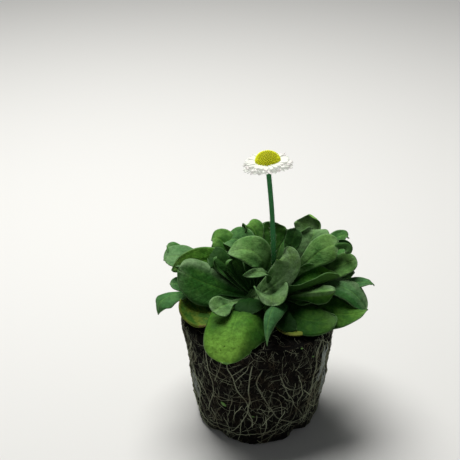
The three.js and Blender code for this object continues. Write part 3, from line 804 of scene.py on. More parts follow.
LEFT_LEAVES = [
    Leaf((1.5, 8, 89.5), (-16, 9, 97.5), 18, roll=28, hook=(0.7, 20), start=0.1, sides=(0.86, 1), wave=1.1,
         tone=(0.4, 0.1, 0), wax=(0.25, 0.25, 0.25)),
    Leaf((-7, 18, 92), (-19, 20, 93), 16, roll=30, start=0.2, tone=(0, 0.4, 0)),
    Leaf((-17.5, 18, 92), (-25.5, 22, 93), 15, roll=30, start=-0.3, tone=(0.4, 0, 0)),
    Leaf((-36, 15, 86), (-49, 18, 91.5), 10, roll=10, start=0.4, tone=(0, 0.3, 0)),
    Leaf((-34, 9, 88.5), (-50, 9, 88), 19, roll=10, start=0.1, tone=(0, 0.5, 0), wax=(0.4, 0.4, 0.4)),
    Leaf((-26, 9, 88), (-45, -1.5, 88), 17, roll=55, start=-1, blunt=(3, 1.8), sides=(0.75, 1),
         base=(-4, 9, 71), tone=(0.75, 0, -0.3), wax=(0, 0, 0)),
    Leaf((-24.5, -4, 81), (-41, -8, 92.5), 27, roll=40, fold_right=(0.7, -50), start=0.05, sides=(0.95, 1.08),
         notch=0.1, tone=(0, 0.2, 0.3), wax=(0, 0.1, 1.25)),
    Leaf((-31, -2, 79), (-46, -4, 82), 9, roll=25, wave=0.2, tone=(0, 0.5, 0)),
    Leaf((-41, -13, 81.5), (-51, -20, 73), 15, cup=-30, blunt=(1.4, 1.4), tone=(0, 0.55, 0)),
    Leaf((-18, 8, 87), (-27, 10, 89.5), 14, roll=30, tone=(0, 0, 0.8)),
]
HEART_LEAVES = [
    Leaf((-21, 4, 86), (-22, 6, 92), 6, tone=(0, 0.2, 0.4)),
    Leaf((-16, 4, 85.5), (-14, 5, 91), 5, tone=(0.2, 0, 0.3)),
    Leaf((4, -4, 88.5), (-8, -8, 89.5), 10, roll=28, cup=45, start=0.15, blunt=(1.6, 1.6),
         sides=(1, 0.5), tone=(0.3, 0.1, 0), wax=(0.5, 0.5, 0.5)),
    Leaf((-3, 7, 84), (-7, 9, 93), 13, tone=(0, 0, 0.7)),
]
BACK_LEAVES = [
    Leaf((36, 18, 94.5), (47, 19, 97.5), 8, roll=-20, start=-0.5, sides=(1, 1.4), tone=(0.1, 0.3, 0)),
    Leaf((37, 12, 92.5), (45, 7, 95.5), 10, cup=140, start=0, blunt=(6, 6), wave=0, tone=(0, 0.7, 0)),
    Leaf((24.5, 26, 91), (26.5, 32, 104), 18, cup=50, tone=(1, 0, -0.4), wax=(0.6, 0.6, 0.6)),
    Leaf((15.5, 10, 94), (18.6, 13, 106), 10, roll=-20, tone=(0, 0.2, 0.7)),
    Leaf((7, 24, 91), (8, 28, 101), 14, tone=(0.2, 0, 0.1)),
    Leaf((4, 28, 88.5), (3.5, 34, 98), 12, tone=(0.35, 0.2, 0)),
    Leaf((-1.5, 24, 94.5), (-9, 28, 98.5), 12, tone=(0.45, 0, 0)),
    Leaf((36, 14, 75), (51, 20, 71), 20, start=0.1, tone=(0.2, 0, 0)),
    Leaf((30, 24, 82), (44, 35, 84), 20, start=0.15, tone=(0.1, 0.2, 0)),
    Leaf((20, 32, 75), (27, 49, 69), 22, start=0.1, tone=(0.3, 0, 0)),
    Leaf((11, 30, 84), (14, 44, 88), 18, start=0.15, tone=(0.1, 0, 0.4)),
    Leaf((1, 34, 75), (-3, 51, 69), 22, start=0.1, tone=(0.25, 0, 0)),
    Leaf((-10, 30, 83), (-18, 42, 87), 18, start=0.15, tone=(0, 0.3, 0)),
    Leaf((-21, 28, 76), (-34, 41, 72), 22, start=0.1, tone=(0.2, 0.1, 0)),
    Leaf((-30, 20, 80), (-44, 28, 80), 18, start=0.15, tone=(0, 0.4, 0)),
    Leaf((-28, 14, 73), (-39, 20, 67.5), 16, start=0.1, tone=(0.1, 0, 0)),
]
OLD_LEAF_LEFT = Leaf((-26, -14, 71), (-38.6, -13, 79.5), 22, roll=25, tone=(0, 0, -1))
OLD_LEAF_FRONT = Leaf((11, -19.5, 68.2), (24, -24, 67.8), 9.5, tone=(0.8, 0, -0.9))

CROWN_CENTRE = (3, 4, 68)
CROWN_RADII = (13, 9.5, 6)
CROWN_RUFFLES = 7
CROWN_RUFFLE_DEPTH = 0.08
# Where leaves grow from: how far from the crown's centre at most, how high, and how far from there
# a leaf's tip is when it grows from the very rim
LEAF_START = (7, 4)
LEAF_START_HEIGHT = 70
LEAF_START_FULL = 20
# Least gap between a leaf's upper side and the root ball
LEAF_LIFT = 1.05
# Width of a leaf's stalk, as a share of its blade's, and how far along the blade is widest
LEAF_STALK_SHARE = 0.2
BLADE_WIDEST = 0.6
FOLD_SOFTNESS = 0.15
SIDE_STEPS = 12
BLADE_ROWS = 30
BLADE_COLUMNS = 22
# How much closer a blade's rows lie at the tip and its columns at the margins
ROW_CROWDING = 0.85
COLUMN_CROWDING = 0.38
# Half widths of the groove over the rib in millimetres and of the notch in the tip as a share
GROOVE_WIDTH = 0.55
NOTCH_WIDTH = 0.22
# Heights of the ripples in the margin, of the side veins and of the dents
MARGIN_RIPPLE = 0.22
VEIN_RELIEF = 0.04
DENT_RELIEF = 0.14
DENT_SIZE = 3
SIDE_VEINS = 7
VEIN_SLANT = 2.2
# Colour of painted shade on one side of a blade.
PAINTED_SHADE_GREEN = (0.012, 0.060, 0.008)
OLD_GREEN = (0.035, 0.105, 0.012)
CROWN_GREEN = (0.018, 0.045, 0.010)


def leaf_base(leaf):
    """Where a leaf grows from the crown."""
    if leaf.base:
        return Vector(leaf.base)
    away = Vector((leaf.tip[0] - CROWN_CENTRE[0], leaf.tip[1] - CROWN_CENTRE[1]))
    share = min(1.0, away.length / LEAF_START_FULL) / away.length
    return Vector((
        CROWN_CENTRE[0] + LEAF_START[0] * away.x * share,
        CROWN_CENTRE[1] + LEAF_START[1] * away.y * share,
        LEAF_START_HEIGHT,
    ))


def spoon_width(s, start, blunt):
    """Width of one side of the blade, as a share of its greatest width."""
    widest = start + BLADE_WIDEST * (1 - start)
    if s > widest:
        ending = max(0.0004, 1 - ((s - widest) / (1 - widest)) ** blunt)
        return ending ** (0.5 + max(0, 0.6 * (2 - blunt)))
    return lerp(LEAF_STALK_SHARE, 1, smoothstep(s, start, widest))


def clear_of_soil(point):
    """Moves a place that would lie in the root ball out of it, the shorter way."""
    radius = math.hypot(point.x, point.y)
    angle = math.atan2(point.y, point.x)
    side = ball_radius(angle, clamp(point.z, 0, BALL_HEIGHT)) + LEAF_LIFT
    up = soil_top(point.x, point.y) + LEAF_LIFT - point.z
    out = side - radius
    if up <= 0 or out <= 0:
        return point
    if up < out:
        return Vector((point.x, point.y, point.z + up))
    return Vector((point.x * side / radius, point.y * side / radius, point.z))


def rib_place(leaf, s):
    """A place on the midrib, with its end hooked down."""
    base = leaf_base(leaf)
    tip = Vector(leaf.tip)
    bend = 2 * Vector(leaf.middle) - 0.5 * base - 0.5 * tip

    def on_curve(t):
        return (1 - t) ** 2 * base + 2 * t * (1 - t) * bend + t * t * tip

    hook_from, hook = leaf.hook
    if s <= hook_from:
        return on_curve(s)
    level = Vector((tip.y - base.y, base.x - tip.x, 0)).normalized()
    turn = -math.radians(hook) * (s - hook_from) / (1 - hook_from)
    pivot = on_curve(hook_from)
    return pivot + Quaternion(level, turn) @ (on_curve(s) - pivot)


def side_profile(leaf, a):
    """How far the blade reaches sideways and upwards at spread a, for a half width of 1."""
    at, degrees = leaf.fold_right if a > 0 else leaf.fold_left
    step = abs(a) / SIDE_STEPS
    across = 0.0
    lift = 0.0
    for k in range(SIDE_STEPS):
        t = (k + 0.5) * step
        fold = math.radians(degrees) * smoothstep(t, at - FOLD_SOFTNESS, at + FOLD_SOFTNESS)
        slope = math.radians(leaf.cup) * t + fold
        across += step * math.cos(slope)
        lift += step * math.sin(slope)
    return math.copysign(across, a), lift


def vein_place(s, a):
    """Grows by one from each side vein to the next."""
    return SIDE_VEINS * s - VEIN_SLANT * abs(a)


def leaf_point(leaf, s, a, profile):
    """A place on a leaf's upper side, with its distances from the rib and from the margin.

    s runs from 0 at the crown to 1 at the tip, a from -1 to 1 across the blade.
    """
    base = leaf_base(leaf)
    tip = Vector(leaf.tip)
    length = (tip - base).length
    reach = s * (1 - leaf.notch * math.exp(-(a / NOTCH_WIDTH) ** 2) * smoothstep(s, 0.6, 1))
    along = (rib_place(leaf, min(1, reach + 0.01)) - rib_place(leaf, max(0, reach - 0.01))).normalized()
    side = Vector((tip.y - base.y, base.x - tip.x, 0)).normalized()
    side = (side - side.dot(along) * along).normalized()
    side = Quaternion(along, -math.radians(leaf.roll + leaf.twist * s)) @ side
    up = side.cross(along)
    right = 1 if a > 0 else 0
    half = 0.5 * leaf.width * leaf.sides[right] * spoon_width(s, leaf.start, leaf.blunt[right])
    across = half * profile[0]
    lift = half * profile[1]
    blade = smoothstep(s, leaf.start, leaf.start + 0.3)
    phase = tip.x + tip.y
    lift += leaf.wave * blade * a * a * math.sin(1.5 * TURN * s + phase + 2 * a)
    lift += MARGIN_RIPPLE * blade * a ** 4 * math.sin(4.3 * TURN * s + 2 * phase - 3 * a)
    groove = bpy.context.scene.daisy_leaves.rib_depth / MM
    lift -= groove * math.exp(-(half * a / GROOVE_WIDTH) ** 2) * (1 - 0.6 * s) * min(1.0, half / 4)
    veins = math.sin(TURN * vein_place(s, a) + phase)
    lift -= VEIN_RELIEF * blade * max(0.0, veins) ** 3 * (1 - abs(a)) * min(1.0, half / 6)
    lift += DENT_RELIEF * blade * noise.noise(Vector((half * a / DENT_SIZE, s * length / DENT_SIZE, phase)))
    point = rib_place(leaf, reach) + across * side + lift * up
    margin = min(half * (1 - abs(a)), 0.55 * length * (1 - s) + 0.05)
    return clear_of_soil(point), half * abs(a), margin


def add_blade(shape, leaf, layers):
    """Adds one leaf: a grid of faces laid over the leaf's surface, closer at the tip and the margins."""
    tone, rib, margin, vein, wax = layers
    fresh, blue, deep = leaf.tone
    profiles = {}
    for vert, share, spread in sheet_verts(shape, BLADE_COLUMNS, BLADE_ROWS):
        spread = round(spread, 6)
        a = spread * (1 - COLUMN_CROWDING + COLUMN_CROWDING * spread * spread)
        s = share * (1 + ROW_CROWDING - ROW_CROWDING * share)
        if a not in profiles:
            profiles[a] = side_profile(leaf, a)
        vert.co, vert[rib], vert[margin] = leaf_point(leaf, s, a, profiles[a])
        # Yellower towards the tip; a high fresh tone on a leaf is partly painted light.
        young = fresh * lerp(0.25, 1, smoothstep(s, 0.55, 0.9))
        # Painted shade, darkest towards the crown deep in the rosette, and over leaves given a deep tone.
        shaded = clamp(deep + 1 - smoothstep(s, 0.15, 0.5))
        vert[tone] = (young, blue, shaded, 1)
        vert[vein] = vein_place(s, a)
        # The last layer is painted sheen on the blade's middle and sides, raised towards the tip; below zero
        # it is painted shade.
        bloom = lerp(leaf.wax[0], leaf.wax[2 if a > 0 else 1], smoothstep(abs(a), 0.3, 0.75))
        vert[wax] = bloom + (0.3 * smoothstep(s, 0.8, 1) if leaf.wax[0] >= 0 else 0)


def leaves_mesh(leaves):
    shape = bmesh.new()
    layers = [
        shape.verts.layers.float_color.new("tone"),
        shape.verts.layers.float.new("from_rib"),
        shape.verts.layers.float.new("from_margin"),
        shape.verts.layers.float.new("vein"),
        shape.verts.layers.float.new("wax"),
    ]
    for leaf in leaves:
        add_blade(shape, leaf, layers)
    return mesh_of(shape)


def show_leaves(name, leaves, node, finishes):
    """Shows leaves whose blades have their thickness, with finishes for top, underside and rim."""
    piece = show_piece(name, leaves_mesh(leaves), finishes, node)
    body = piece.modifiers.new("blade", "SOLIDIFY")
    body.thickness = bpy.context.scene.daisy_leaves.thickness
    body.offset = -1
    body.material_offset = 1
    body.material_offset_rim = 2


def from_vein(leaf):
    """0 on the side veins, 0.5 midway between them."""
    return leaf.node("ShaderNodeMath", {"operation": "PINGPONG"}, {0: leaf.attribute("vein"), 1: 0.5})


def along_rib(leaf, near, far):
    """1 on the midrib, 0 beyond far millimetres from it."""
    return 1 - leaf.between(leaf.attribute("from_rib"), near, far)


def leaf_relief(leaf, depth):
    """Veins, puckers and the fine pimples between them."""
    normal = leaf.bump(leaf.between(from_vein(leaf), 0.0, 0.12), 0.05 * depth)
    normal = leaf.bump(leaf.noise(3.5, 2, 0.5), 0.6 * depth, normal)
    return leaf.bump(leaf.noise(0.7, 3, 0.6), 0.12 * depth, normal)


def leaf_top_finish():
    settings = bpy.context.scene.daisy_leaves
    leaf = Finish("leaf_top")
    fresh, blue, deep = leaf.channels("tone")
    wax = leaf.attribute("wax")
    broad = leaf.noise(6, 3, 0.6)
    mottle = leaf.noise(2.2, 5, 0.72)
    patches = leaf.between(broad, 0.3, 0.7)
    color = leaf.mix(fresh * 0.58 + patches * 0.22 - 0.11, settings.green, settings.fresh)
    color = leaf.mix(blue + mottle * 0.2 - 0.1, color, settings.teal)
    # Painted sheen lightens lit parts of a blade towards the pale colour, and below zero the same layer
    # paints shade on it.
    color = leaf.mix(wax * (0.55 + patches * 0.7), color, settings.pale)
    color = leaf.mix(wax * -0.8, color, PAINTED_SHADE_GREEN)
    color = leaf.mix(1.0, color, 0.1 + mottle * 1.8, "MULTIPLY")
    thin = 1 - leaf.between(from_vein(leaf), 0.0, 0.05)
    color = leaf.mix(thin * 0.05, color, settings.pale)
    color = leaf.mix(along_rib(leaf, 0.1, 0.4) * 0.15, color, settings.fresh)
    # The margin is paler, partly its own colour and partly painted highlight along the rim.
    rim = 1 - leaf.between(leaf.attribute("from_margin"), 0.15, 0.65)
    color = leaf.mix(rim * 0.5, color, settings.pale)
    specks = leaf.between(leaf.noise(1, 2, 0.5), 0.68, 0.74)
    color = leaf.mix(specks * fresh * 0.6, color, settings.shade)
    # Painted shade deep in the rosette.
    color = leaf.mix(deep * 0.9, color, settings.shade)
    return leaf.finish(color, 0.55 + 0.16 * broad, leaf_relief(leaf, 1.0), specular=0.05)


def leaf_under_finish():
    settings = bpy.context.scene.daisy_leaves
    leaf = Finish("leaf_under")
    fresh, _, deep = leaf.channels("tone")
    broad = leaf.noise(6, 3, 0.6)
    # Paler in broad patches, and lightened by the same painted sheen as the upper side.
    color = leaf.mix(leaf.attribute("wax") * 0.35 + 0.2 * broad, settings.green, settings.pale)
    color = leaf.mix(fresh * 0.4, color, settings.fresh)
    color = leaf.mix(along_rib(leaf, 0.2, 0.7) * 0.6, color, settings.pale)
    # Painted shade deep in the rosette.
    color = leaf.mix(deep * 0.8, color, settings.shade)
    return leaf.finish(color, 0.62, leaf_relief(leaf, -1.0), specular=0.06)


def leaf_rim_finish():
    settings = bpy.context.scene.daisy_leaves
    rim = Finish("leaf_rim")
    color = rim.mix(rim.noise(4, 2) * 0.7, settings.green, settings.pale)
    return rim.finish(color, 0.6, specular=0.1)


def old_leaf_finish():
    """Yellow-green, browned from the margin inwards."""
    settings = bpy.context.scene.daisy_leaves
    leaf = Finish("old_leaf")
    fresh, _, deep = leaf.channels("tone")
    broad = leaf.noise(5, 3, 0.6)
    color = leaf.mix(leaf.between(broad, 0.4, 0.7) * 0.6, OLD_GREEN, settings.yellow)
    edge = 1 - leaf.between(leaf.attribute("from_margin"), 0.4, 2.6)
    color = leaf.mix(edge * 0.5, color, settings.yellow)
    color = leaf.mix(fresh * 0.6, color, settings.yellow)
    withered = leaf.between(edge * 0.3 + broad * 0.75 + leaf.noise(1.4, 4, 0.7) * 0.25, 0.74, 0.88)
    color = leaf.mix(withered * (1 - fresh), color, settings.brown)
    color = leaf.mix(along_rib(leaf, 0.15, 0.5) * 0.5, color, settings.yellow)
    # Painted shade towards the crown.
    color = leaf.mix(deep * 0.95, color, settings.shade)
    return leaf.finish(color, 0.66, leaf_relief(leaf, 1.3), specular=0.1)


def crown_mesh():
    """The short ruffled crown that the leaves grow from."""
    shape = bmesh.new()
    bmesh.ops.create_icosphere(shape, subdivisions=4, radius=1)
    for vert in shape.verts:
        around = math.atan2(vert.co.y, vert.co.x)
        ruffle = 1 - CROWN_RUFFLE_DEPTH * abs(math.sin(CROWN_RUFFLES * around + 3 * vert.co.z))
        vert.co = Vector(CROWN_CENTRE) + ruffle * vert.co * Vector(CROWN_RADII)
    return mesh_of(shape)


def crown_finish():
    settings = bpy.context.scene.daisy_leaves
    crown = Finish("crown_skin")
    color = crown.mix(crown.noise(2.5, 4, 0.6), settings.shade, CROWN_GREEN)
    return crown.finish(color, 0.8, crown.bump(crown.noise(0.8, 3), 0.2), specular=0.05)


# Flower
# Mean radius of the ribbed skin
STALK_SKIN_RADIUS = 1.19
STALK_PATH = [Vector((8, 1, 66)), Vector((7.7, 0.6, 90)), Vector((6.2, 0.1, 120)), Vector((3.7, 0, 146.5))]
STALK_RIBS = 9
STALK_RIB_HEIGHT = 0.05
# How much thicker the stalk is just under the head
STALK_SWELL = 0.25
STALK_ROWS = 90
STALK_COLUMNS = 54
# Heights in metres between which the stalk goes from shaded to lit
STALK_SHADE_LEVELS = (0.085, 0.112)
HAIR_SEED = 8
# The part of the stalk that is hairy
HAIR_SHARES = (0.22, 0.985)
HAIR_REACH = (0.35, 0.8)
# Radii of a hair at its root, middle and tip
HAIR_RADII = (0.035, 0.025, 0.008)
HEAD_CENTRE = Vector((3.5, 0, 150))
HEAD_TILT = Quaternion((0, 1, 0), math.radians(-3.3))
# The green cup under the head, and its bracts in two turns
CUP_PROFILE = [(0, -4.6), (1.3, -4.45), (2.6, -3.8), (3.6, -2.9), (4.3, -2.0), (4.6, -1.6), (0, -1.6)]
CUP_STEPS = 48
BRACTS = 26
BRACT_ROOT = 2.4
BRACT_REACH = 7.3
BRACT_HALF_WIDTH = 1.15
BRACT_CUP = 0.35
# Heights of a bract's root and tip
BRACT_HEIGHTS = (-3.75, -2.55)
PETAL_ROOT = 4.2
PETAL_THICKNESS = 0.2
# Faces across and along a petal or a bract
PETAL_COLUMNS = 6
PETAL_ROWS = 12
# The share of its length at which a petal starts to round off, and how deep the notch in its end, the
# trough along it and its pleats are
PETAL_ROUND_FROM = 0.72
PETAL_NOTCH = 0.25
PETAL_TROUGH = 0.16
PETAL_PLEAT = 0.05
# Layers from the lowest up: share of the petals, reach, rise in degrees, level, width
PETAL_LAYERS = [
    (1.0, 12.7, -6, -0.7, 2.4),
    (1.0, 12.1, 0, -0.15, 2.35),
    (0.8, 11.0, 5, 0.45, 2.2),
]
# The petals of the front right, this many degrees round, are lifted by so many degrees and millimetres
LIFTED_SIDE = -55
LIFTED_BY = (6, 0.6)
PETAL_SEED = 11
# The pale ring that joins the petals' inner ends, and the dome that the florets stand on
RING_PROFILE = [(0, -1.25), (4.8, -1.25), (5.15, -1.0), (5.15, 0.5), (4.8, 0.8), (0, 0.8)]
RING_STEPS = 40
DISC_PROFILE = [
    (0, 0.2), (5.7, 0.2), (5.8, 0.9), (5.75, 1.8), (5.3, 2.7), (4.4, 3.8), (3.2, 4.6), (1.6, 5.1), (0, 5.2),
]
DISC_STEPS = 48
# Florets: how far they spread from the middle, how far they lean at the edge in degrees, their height
# there and how much higher the middle is, and their size in the middle and at the edge
FLORET_SPREAD = 5.93
FLORET_LEAN = 100
FLORET_LEVEL = 1
FLORET_RISE = 4.45
FLORET_SIZES = (0.30, 0.37)
FLORET_LOBES = 5
FLORET_LOBE_DEPTH = 0.22
FLORET_SEED = 4
GOLDEN_ANGLE = math.pi * (3 - math.sqrt(5))

PETAL_FOOT = (0.40, 0.44, 0.27)
PETAL_STREAK = (0.40, 0.43, 0.40)
FLORET_GOLD = (0.80, 0.80, 0.03)
DISC_SHADE = (0.14, 0.13, 0.004)
RIB_GREEN = (0.07, 0.21, 0.09)
STALK_DARK = (0.02, 0.085, 0.04)
STALK_SHADE = (0.012, 0.06, 0.008)
CUP_GREEN = (0.05, 0.13, 0.03)
HAIR_PALE = (0.55, 0.62, 0.5)


def on_head(place):
    """Moves a place from the upright flower head at the origin to the tilted one on the stalk."""
    return HEAD_CENTRE + HEAD_TILT @ place


def head_mesh(shape):
    """Makes the mesh of a closed shape on the flower head."""
    for vert in shape.verts:
        vert.co = on_head(vert.co)
    bmesh.ops.recalc_face_normals(shape, faces=shape.faces[:])
    return mesh_of(shape)


def turned_mesh(profile, steps):
    """A closed round piece of the flower head."""
    shape = bmesh.new()
    spin_profile(shape, profile, steps)
    return head_mesh(shape)


def rib_wave(share, around):
    """1 on the stalk's ribs, -1 midway between them."""
    return math.cos(STALK_RIBS * around + 3 * share)


def stalk_ring(share, around, swell=0.0):
    """A place on the stalk's ribbed skin, and the direction out of it."""
    centre = catmull_rom(STALK_PATH, share)
    ahead = catmull_rom(STALK_PATH, share + 0.01) - catmull_rom(STALK_PATH, share - 0.01)
    side = Vector((1, 0, 0)).cross(ahead.normalized())
    out = Quaternion(ahead.normalized(), around) @ side.normalized()
    radius = STALK_SKIN_RADIUS + STALK_RIB_HEIGHT * rib_wave(share, around) + swell
    return centre + radius * out, out


def stalk_mesh():
    """The stalk's ribbed skin, a grid rolled up round its path."""
    shape = bmesh.new()
    rib = shape.verts.layers.float.new("rib")
    for vert, share, spread in sheet_verts(shape, STALK_COLUMNS, STALK_ROWS):
        around = TURN * (0.5 + 0.5 * spread)
        vert[rib] = 0.5 + 0.5 * rib_wave(share, around)
        vert.co = stalk_ring(share, around, STALK_SWELL * smoothstep(share, 0.95, 1))[0]
    bmesh.ops.remove_doubles(shape, verts=shape.verts[:], dist=1e-4)
    close_shape(shape)
    return mesh_of(shape)


def stalk_hairs_mesh():
    """Short hairs that stand out from the stalk."""
    dice = random.Random(HAIR_SEED)
    strands = []
    for _ in range(bpy.context.scene.daisy_flower.hairs):
        share = dice.uniform(*HAIR_SHARES)
        root, out = stalk_ring(share, TURN * dice.random())
        reach = dice.uniform(*HAIR_REACH)
        hang = Vector((dice.gauss(0, 0.25), dice.gauss(0, 0.25), dice.gauss(0.1, 0.3)))
        tip = root + reach * (out + hang)
        middle = 0.5 * (root + tip) + Vector((0, 0, 0.05))
        strands.append((list(zip((root, middle, tip), HAIR_RADII)), 0.5))
    return strands_mesh(strands)


def cup_mesh():
    """The green cup under the flower, with its ring of bracts."""
    shape = bmesh.new()
    spin_profile(shape, CUP_PROFILE, CUP_STEPS)
    for k in range(BRACTS):
        lower = k % 2
        turn = Quaternion(UP, TURN * (k + 0.3 * lower) / BRACTS)
        for vert, s, a in sheet_verts(shape, PETAL_COLUMNS, PETAL_ROWS):
            out = lerp(BRACT_ROOT, BRACT_REACH - 0.7 * lower, s)
            half = BRACT_HALF_WIDTH * math.sqrt(max(0.004, 1 - s ** 3)) * lerp(0.7, 1, s)
            height = lerp(*BRACT_HEIGHTS, smoothstep(s, 0, 1)) - 0.12 * lower
            cupped = BRACT_CUP * a * a * (1 - 0.6 * s)
            vert.co = turn @ Vector((out, half * a, height + cupped))
    return head_mesh(shape)


def add_petal(shape, turn, reach, rise, level, width, lean, dice, layer):
    """Adds one petal: a grid of faces, troughed along its middle, blunt and notched at its end.

    Its layer keeps the place along it and its tint.
    """
    tint = dice.random()
    droop = dice.uniform(0.2, 0.6)
    curl = dice.gauss(0, 0.25)
    spin = Quaternion(UP, turn)
    lifted = max(0.0, math.cos(turn - math.radians(LIFTED_SIDE))) ** 2
    rise += LIFTED_BY[0] * lifted
    level += LIFTED_BY[1] * lifted
    for vert, share, a in sheet_verts(shape, PETAL_COLUMNS, PETAL_ROWS):
        s = share * (1.5 - 0.5 * share)
        taper = lerp(0.6, 1, smoothstep(s, 0, 0.35))
        rounding = clamp((s - PETAL_ROUND_FROM) / (1 - PETAL_ROUND_FROM)) ** 2.2
        half = 0.5 * width * taper * math.sqrt(max(0.02, 1 - rounding))
        notch = PETAL_NOTCH * math.exp(-(a / 0.3) ** 2) * smoothstep(s, 0.8, 1)
        out = lerp(PETAL_ROOT, reach - notch, s)
        climb = math.tan(math.radians(rise)) * (out - PETAL_ROOT) - droop * s * s
        trough = PETAL_TROUGH * a * a + PETAL_PLEAT * math.cos(3 * math.pi * a)
        height = level + climb + lean * half * a + trough + curl * s * s * a
        vert.co = on_head(spin @ Vector((out, half * a, height)))
        vert[layer] = (s, tint, 0, 1)


def petals_mesh():
    """Petals in their layers, each turned, tilted and cut a little differently."""
    dice = random.Random(PETAL_SEED)
    count = bpy.context.scene.daisy_flower.petals
    shape = bmesh.new()
    layer = shape.verts.layers.float_color.new("petal")
    for index, (share, reach, rise, level, width) in enumerate(PETAL_LAYERS):
        number = round(count * share)
        for k in range(number):
            turn = TURN * (k + 0.35 * index + 0.35 * dice.random()) / number
            length = reach * (1 - 0.1 * dice.random() ** 2)
            angle = rise + dice.gauss(0, 2.2)
            add_petal(shape, turn, length, angle, level, width * dice.uniform(0.85, 1.05),
                      dice.gauss(0, 0.12), dice, layer)
    return mesh_of(shape)


def florets_mesh():
    """Florets in golden-angle spirals: open ones with five lobes outside, closed buds at the top."""
    dice = random.Random(FLORET_SEED)
    count = bpy.context.scene.daisy_flower.florets
    shape = bmesh.new()
    layer = shape.verts.layers.float.new("tip")
    for k in range(count):
        share = math.sqrt((k + 0.5) / count)
        turn = k * GOLDEN_ANGLE
        lean = share * math.radians(FLORET_LEAN)
        size = lerp(*FLORET_SIZES, share) * dice.uniform(0.9, 1.1)
        open_share = smoothstep(share, 0.3, 0.6)
        facing = Quaternion(UP, turn) @ Quaternion((0, 1, 0), lean)
        height = FLORET_LEVEL + FLORET_RISE * math.cos(lean)
        place = polar(FLORET_SPREAD * math.sin(lean), turn, height)
        made = bmesh.ops.create_icosphere(shape, subdivisions=1, radius=1)
        for vert in made["verts"]:
            lobes = math.cos(FLORET_LOBES * math.atan2(vert.co.y, vert.co.x)) * open_share
            girth = size * (1 + FLORET_LOBE_DEPTH * lobes)
            local = Vector((girth * vert.co.x, girth * vert.co.y, 1.5 * size * vert.co.z))
            vert[layer] = 0.5 + 0.5 * vert.co.z
            vert.co = on_head(place + facing @ local)
    return mesh_of(shape)


def petal_finish():
    settings = bpy.context.scene.daisy_flower
    petal = Finish("petal_white")
    along, tint, _ = petal.channels("petal")
    blush = petal.between(along, 0.55, 1.0) * petal.between(tint, 0.55, 0.95)
    color = petal.mix(blush * 0.5, settings.white, settings.blush)
    color = petal.mix((1 - petal.between(along, 0.0, 0.3)) * 0.5, color, PETAL_FOOT)
    color = petal.mix(petal.noise(0.8, 2) * 0.25, color, PETAL_STREAK)
    normal = petal.bump(petal.noise(0.45, 2), 0.05)
    # The glow is painted light, standing for light that shines through the thin petals.
    return petal.finish(color, 0.6, normal, specular=0.2, painted_glow=0.65)


def floret_finish():
    settings = bpy.context.scene.daisy_flower
    floret = Finish("floret_yellow")
    tip = floret.between(floret.attribute("tip"), 0.25, 0.85)
    color = floret.mix(tip, settings.disc_olive, settings.disc_yellow)
    color = floret.mix(floret.noise(1.6, 2) * 0.4, color, FLORET_GOLD)
    return floret.finish(color, 0.6, floret.bump(floret.noise(0.2, 2), 0.05), specular=0.3)


def disc_finish():
    settings = bpy.context.scene.daisy_flower
    dome = Finish("disc_olive")
    color = dome.mix(dome.noise(0.7, 2), settings.disc_olive, DISC_SHADE)
    return dome.finish(color, 0.75, specular=0.2)


def stalk_finish():
    """Ribbed green, darker where the stalk goes down between the leaves."""
    settings = bpy.context.scene.daisy_flower
    stalk = Finish("stalk_green")
    color = stalk.mix(stalk.attribute("rib") * 0.45, settings.stalk_green, RIB_GREEN)
    color = stalk.mix(stalk.noise(5, 3) * 0.35, color, STALK_DARK)
    color = stalk.mix(1 - stalk.between(stalk.level(), *STALK_SHADE_LEVELS), color, STALK_SHADE)
    return stalk.finish(color, 0.6, stalk.bump(stalk.noise(0.5, 3), 0.06), specular=0.12)


def cup_finish():
    settings = bpy.context.scene.daisy_flower
    cup = Finish("bract_green")
    color = cup.mix(cup.noise(1.5, 3), settings.stalk_green, CUP_GREEN)
    return cup.finish(color, 0.6, cup.bump(cup.noise(0.5, 3), 0.08), specular=0.35)


def hair_finish():
    return Finish("plant_hair").finish(HAIR_PALE, 0.5, specular=0.4)


# Stage: floor, lights and the camera at the photograph's viewing angle
CAMERA_PLACE = (0, -0.469, 0.373)
CAMERA_PITCH = 29.1
CAMERA_YAW = 1.836
PHOTO_WIDTH = 460
FOCAL_PIXELS = 1060
SENSOR_WIDTH = 36
FLOOR_SIZE = 3000
# Lights: place, share of the key light's power, colour
LIGHTS = {
    "overhead_light": ((-0.15, 0.28, 0.85), 1, (1, 0.99, 0.96)),
    "front_light": ((0.1, -0.9, 0.5), 0.05, (0.95, 0.98, 1)),
}
LIGHT_SIZE = 0.6
LIT_PLACE = Vector((0, 0, 0.07))
SKY_COLOR = (0.97, 0.98, 1, 1)


def show_floor():
    shape = bmesh.new()
    bmesh.ops.create_grid(shape, x_segments=1, y_segments=1, size=FLOOR_SIZE)
    mesh = mesh_of(shape)
    color = bpy.context.scene.daisy_stage.floor
    mesh.materials.append(Finish("plain_floor").finish(color, 0.9, specular=0.1))
    floor = bpy.data.objects.new("floor", mesh)
    bpy.context.scene.collection.objects.link(floor)


def show_lights():
    settings = bpy.context.scene.daisy_stage
    for name, (place, share, color) in LIGHTS.items():
        light = bpy.data.lights.new(name, "AREA")
        light.shape = "DISK"
        light.size = LIGHT_SIZE
        light.energy = share * settings.key
        light.color = color
        lamp = bpy.data.objects.new(name, light)
        lamp.location = place
        lamp.rotation_euler = (LIT_PLACE - lamp.location).to_track_quat("-Z", "Y").to_euler()
        bpy.context.scene.collection.objects.link(lamp)
    world = bpy.data.worlds.new("studio")
    world.use_nodes = True
    sky = world.node_tree.nodes["Background"]
    sky.inputs["Color"].default_value = SKY_COLOR
    sky.inputs["Strength"].default_value = settings.sky
    bpy.context.scene.world = world


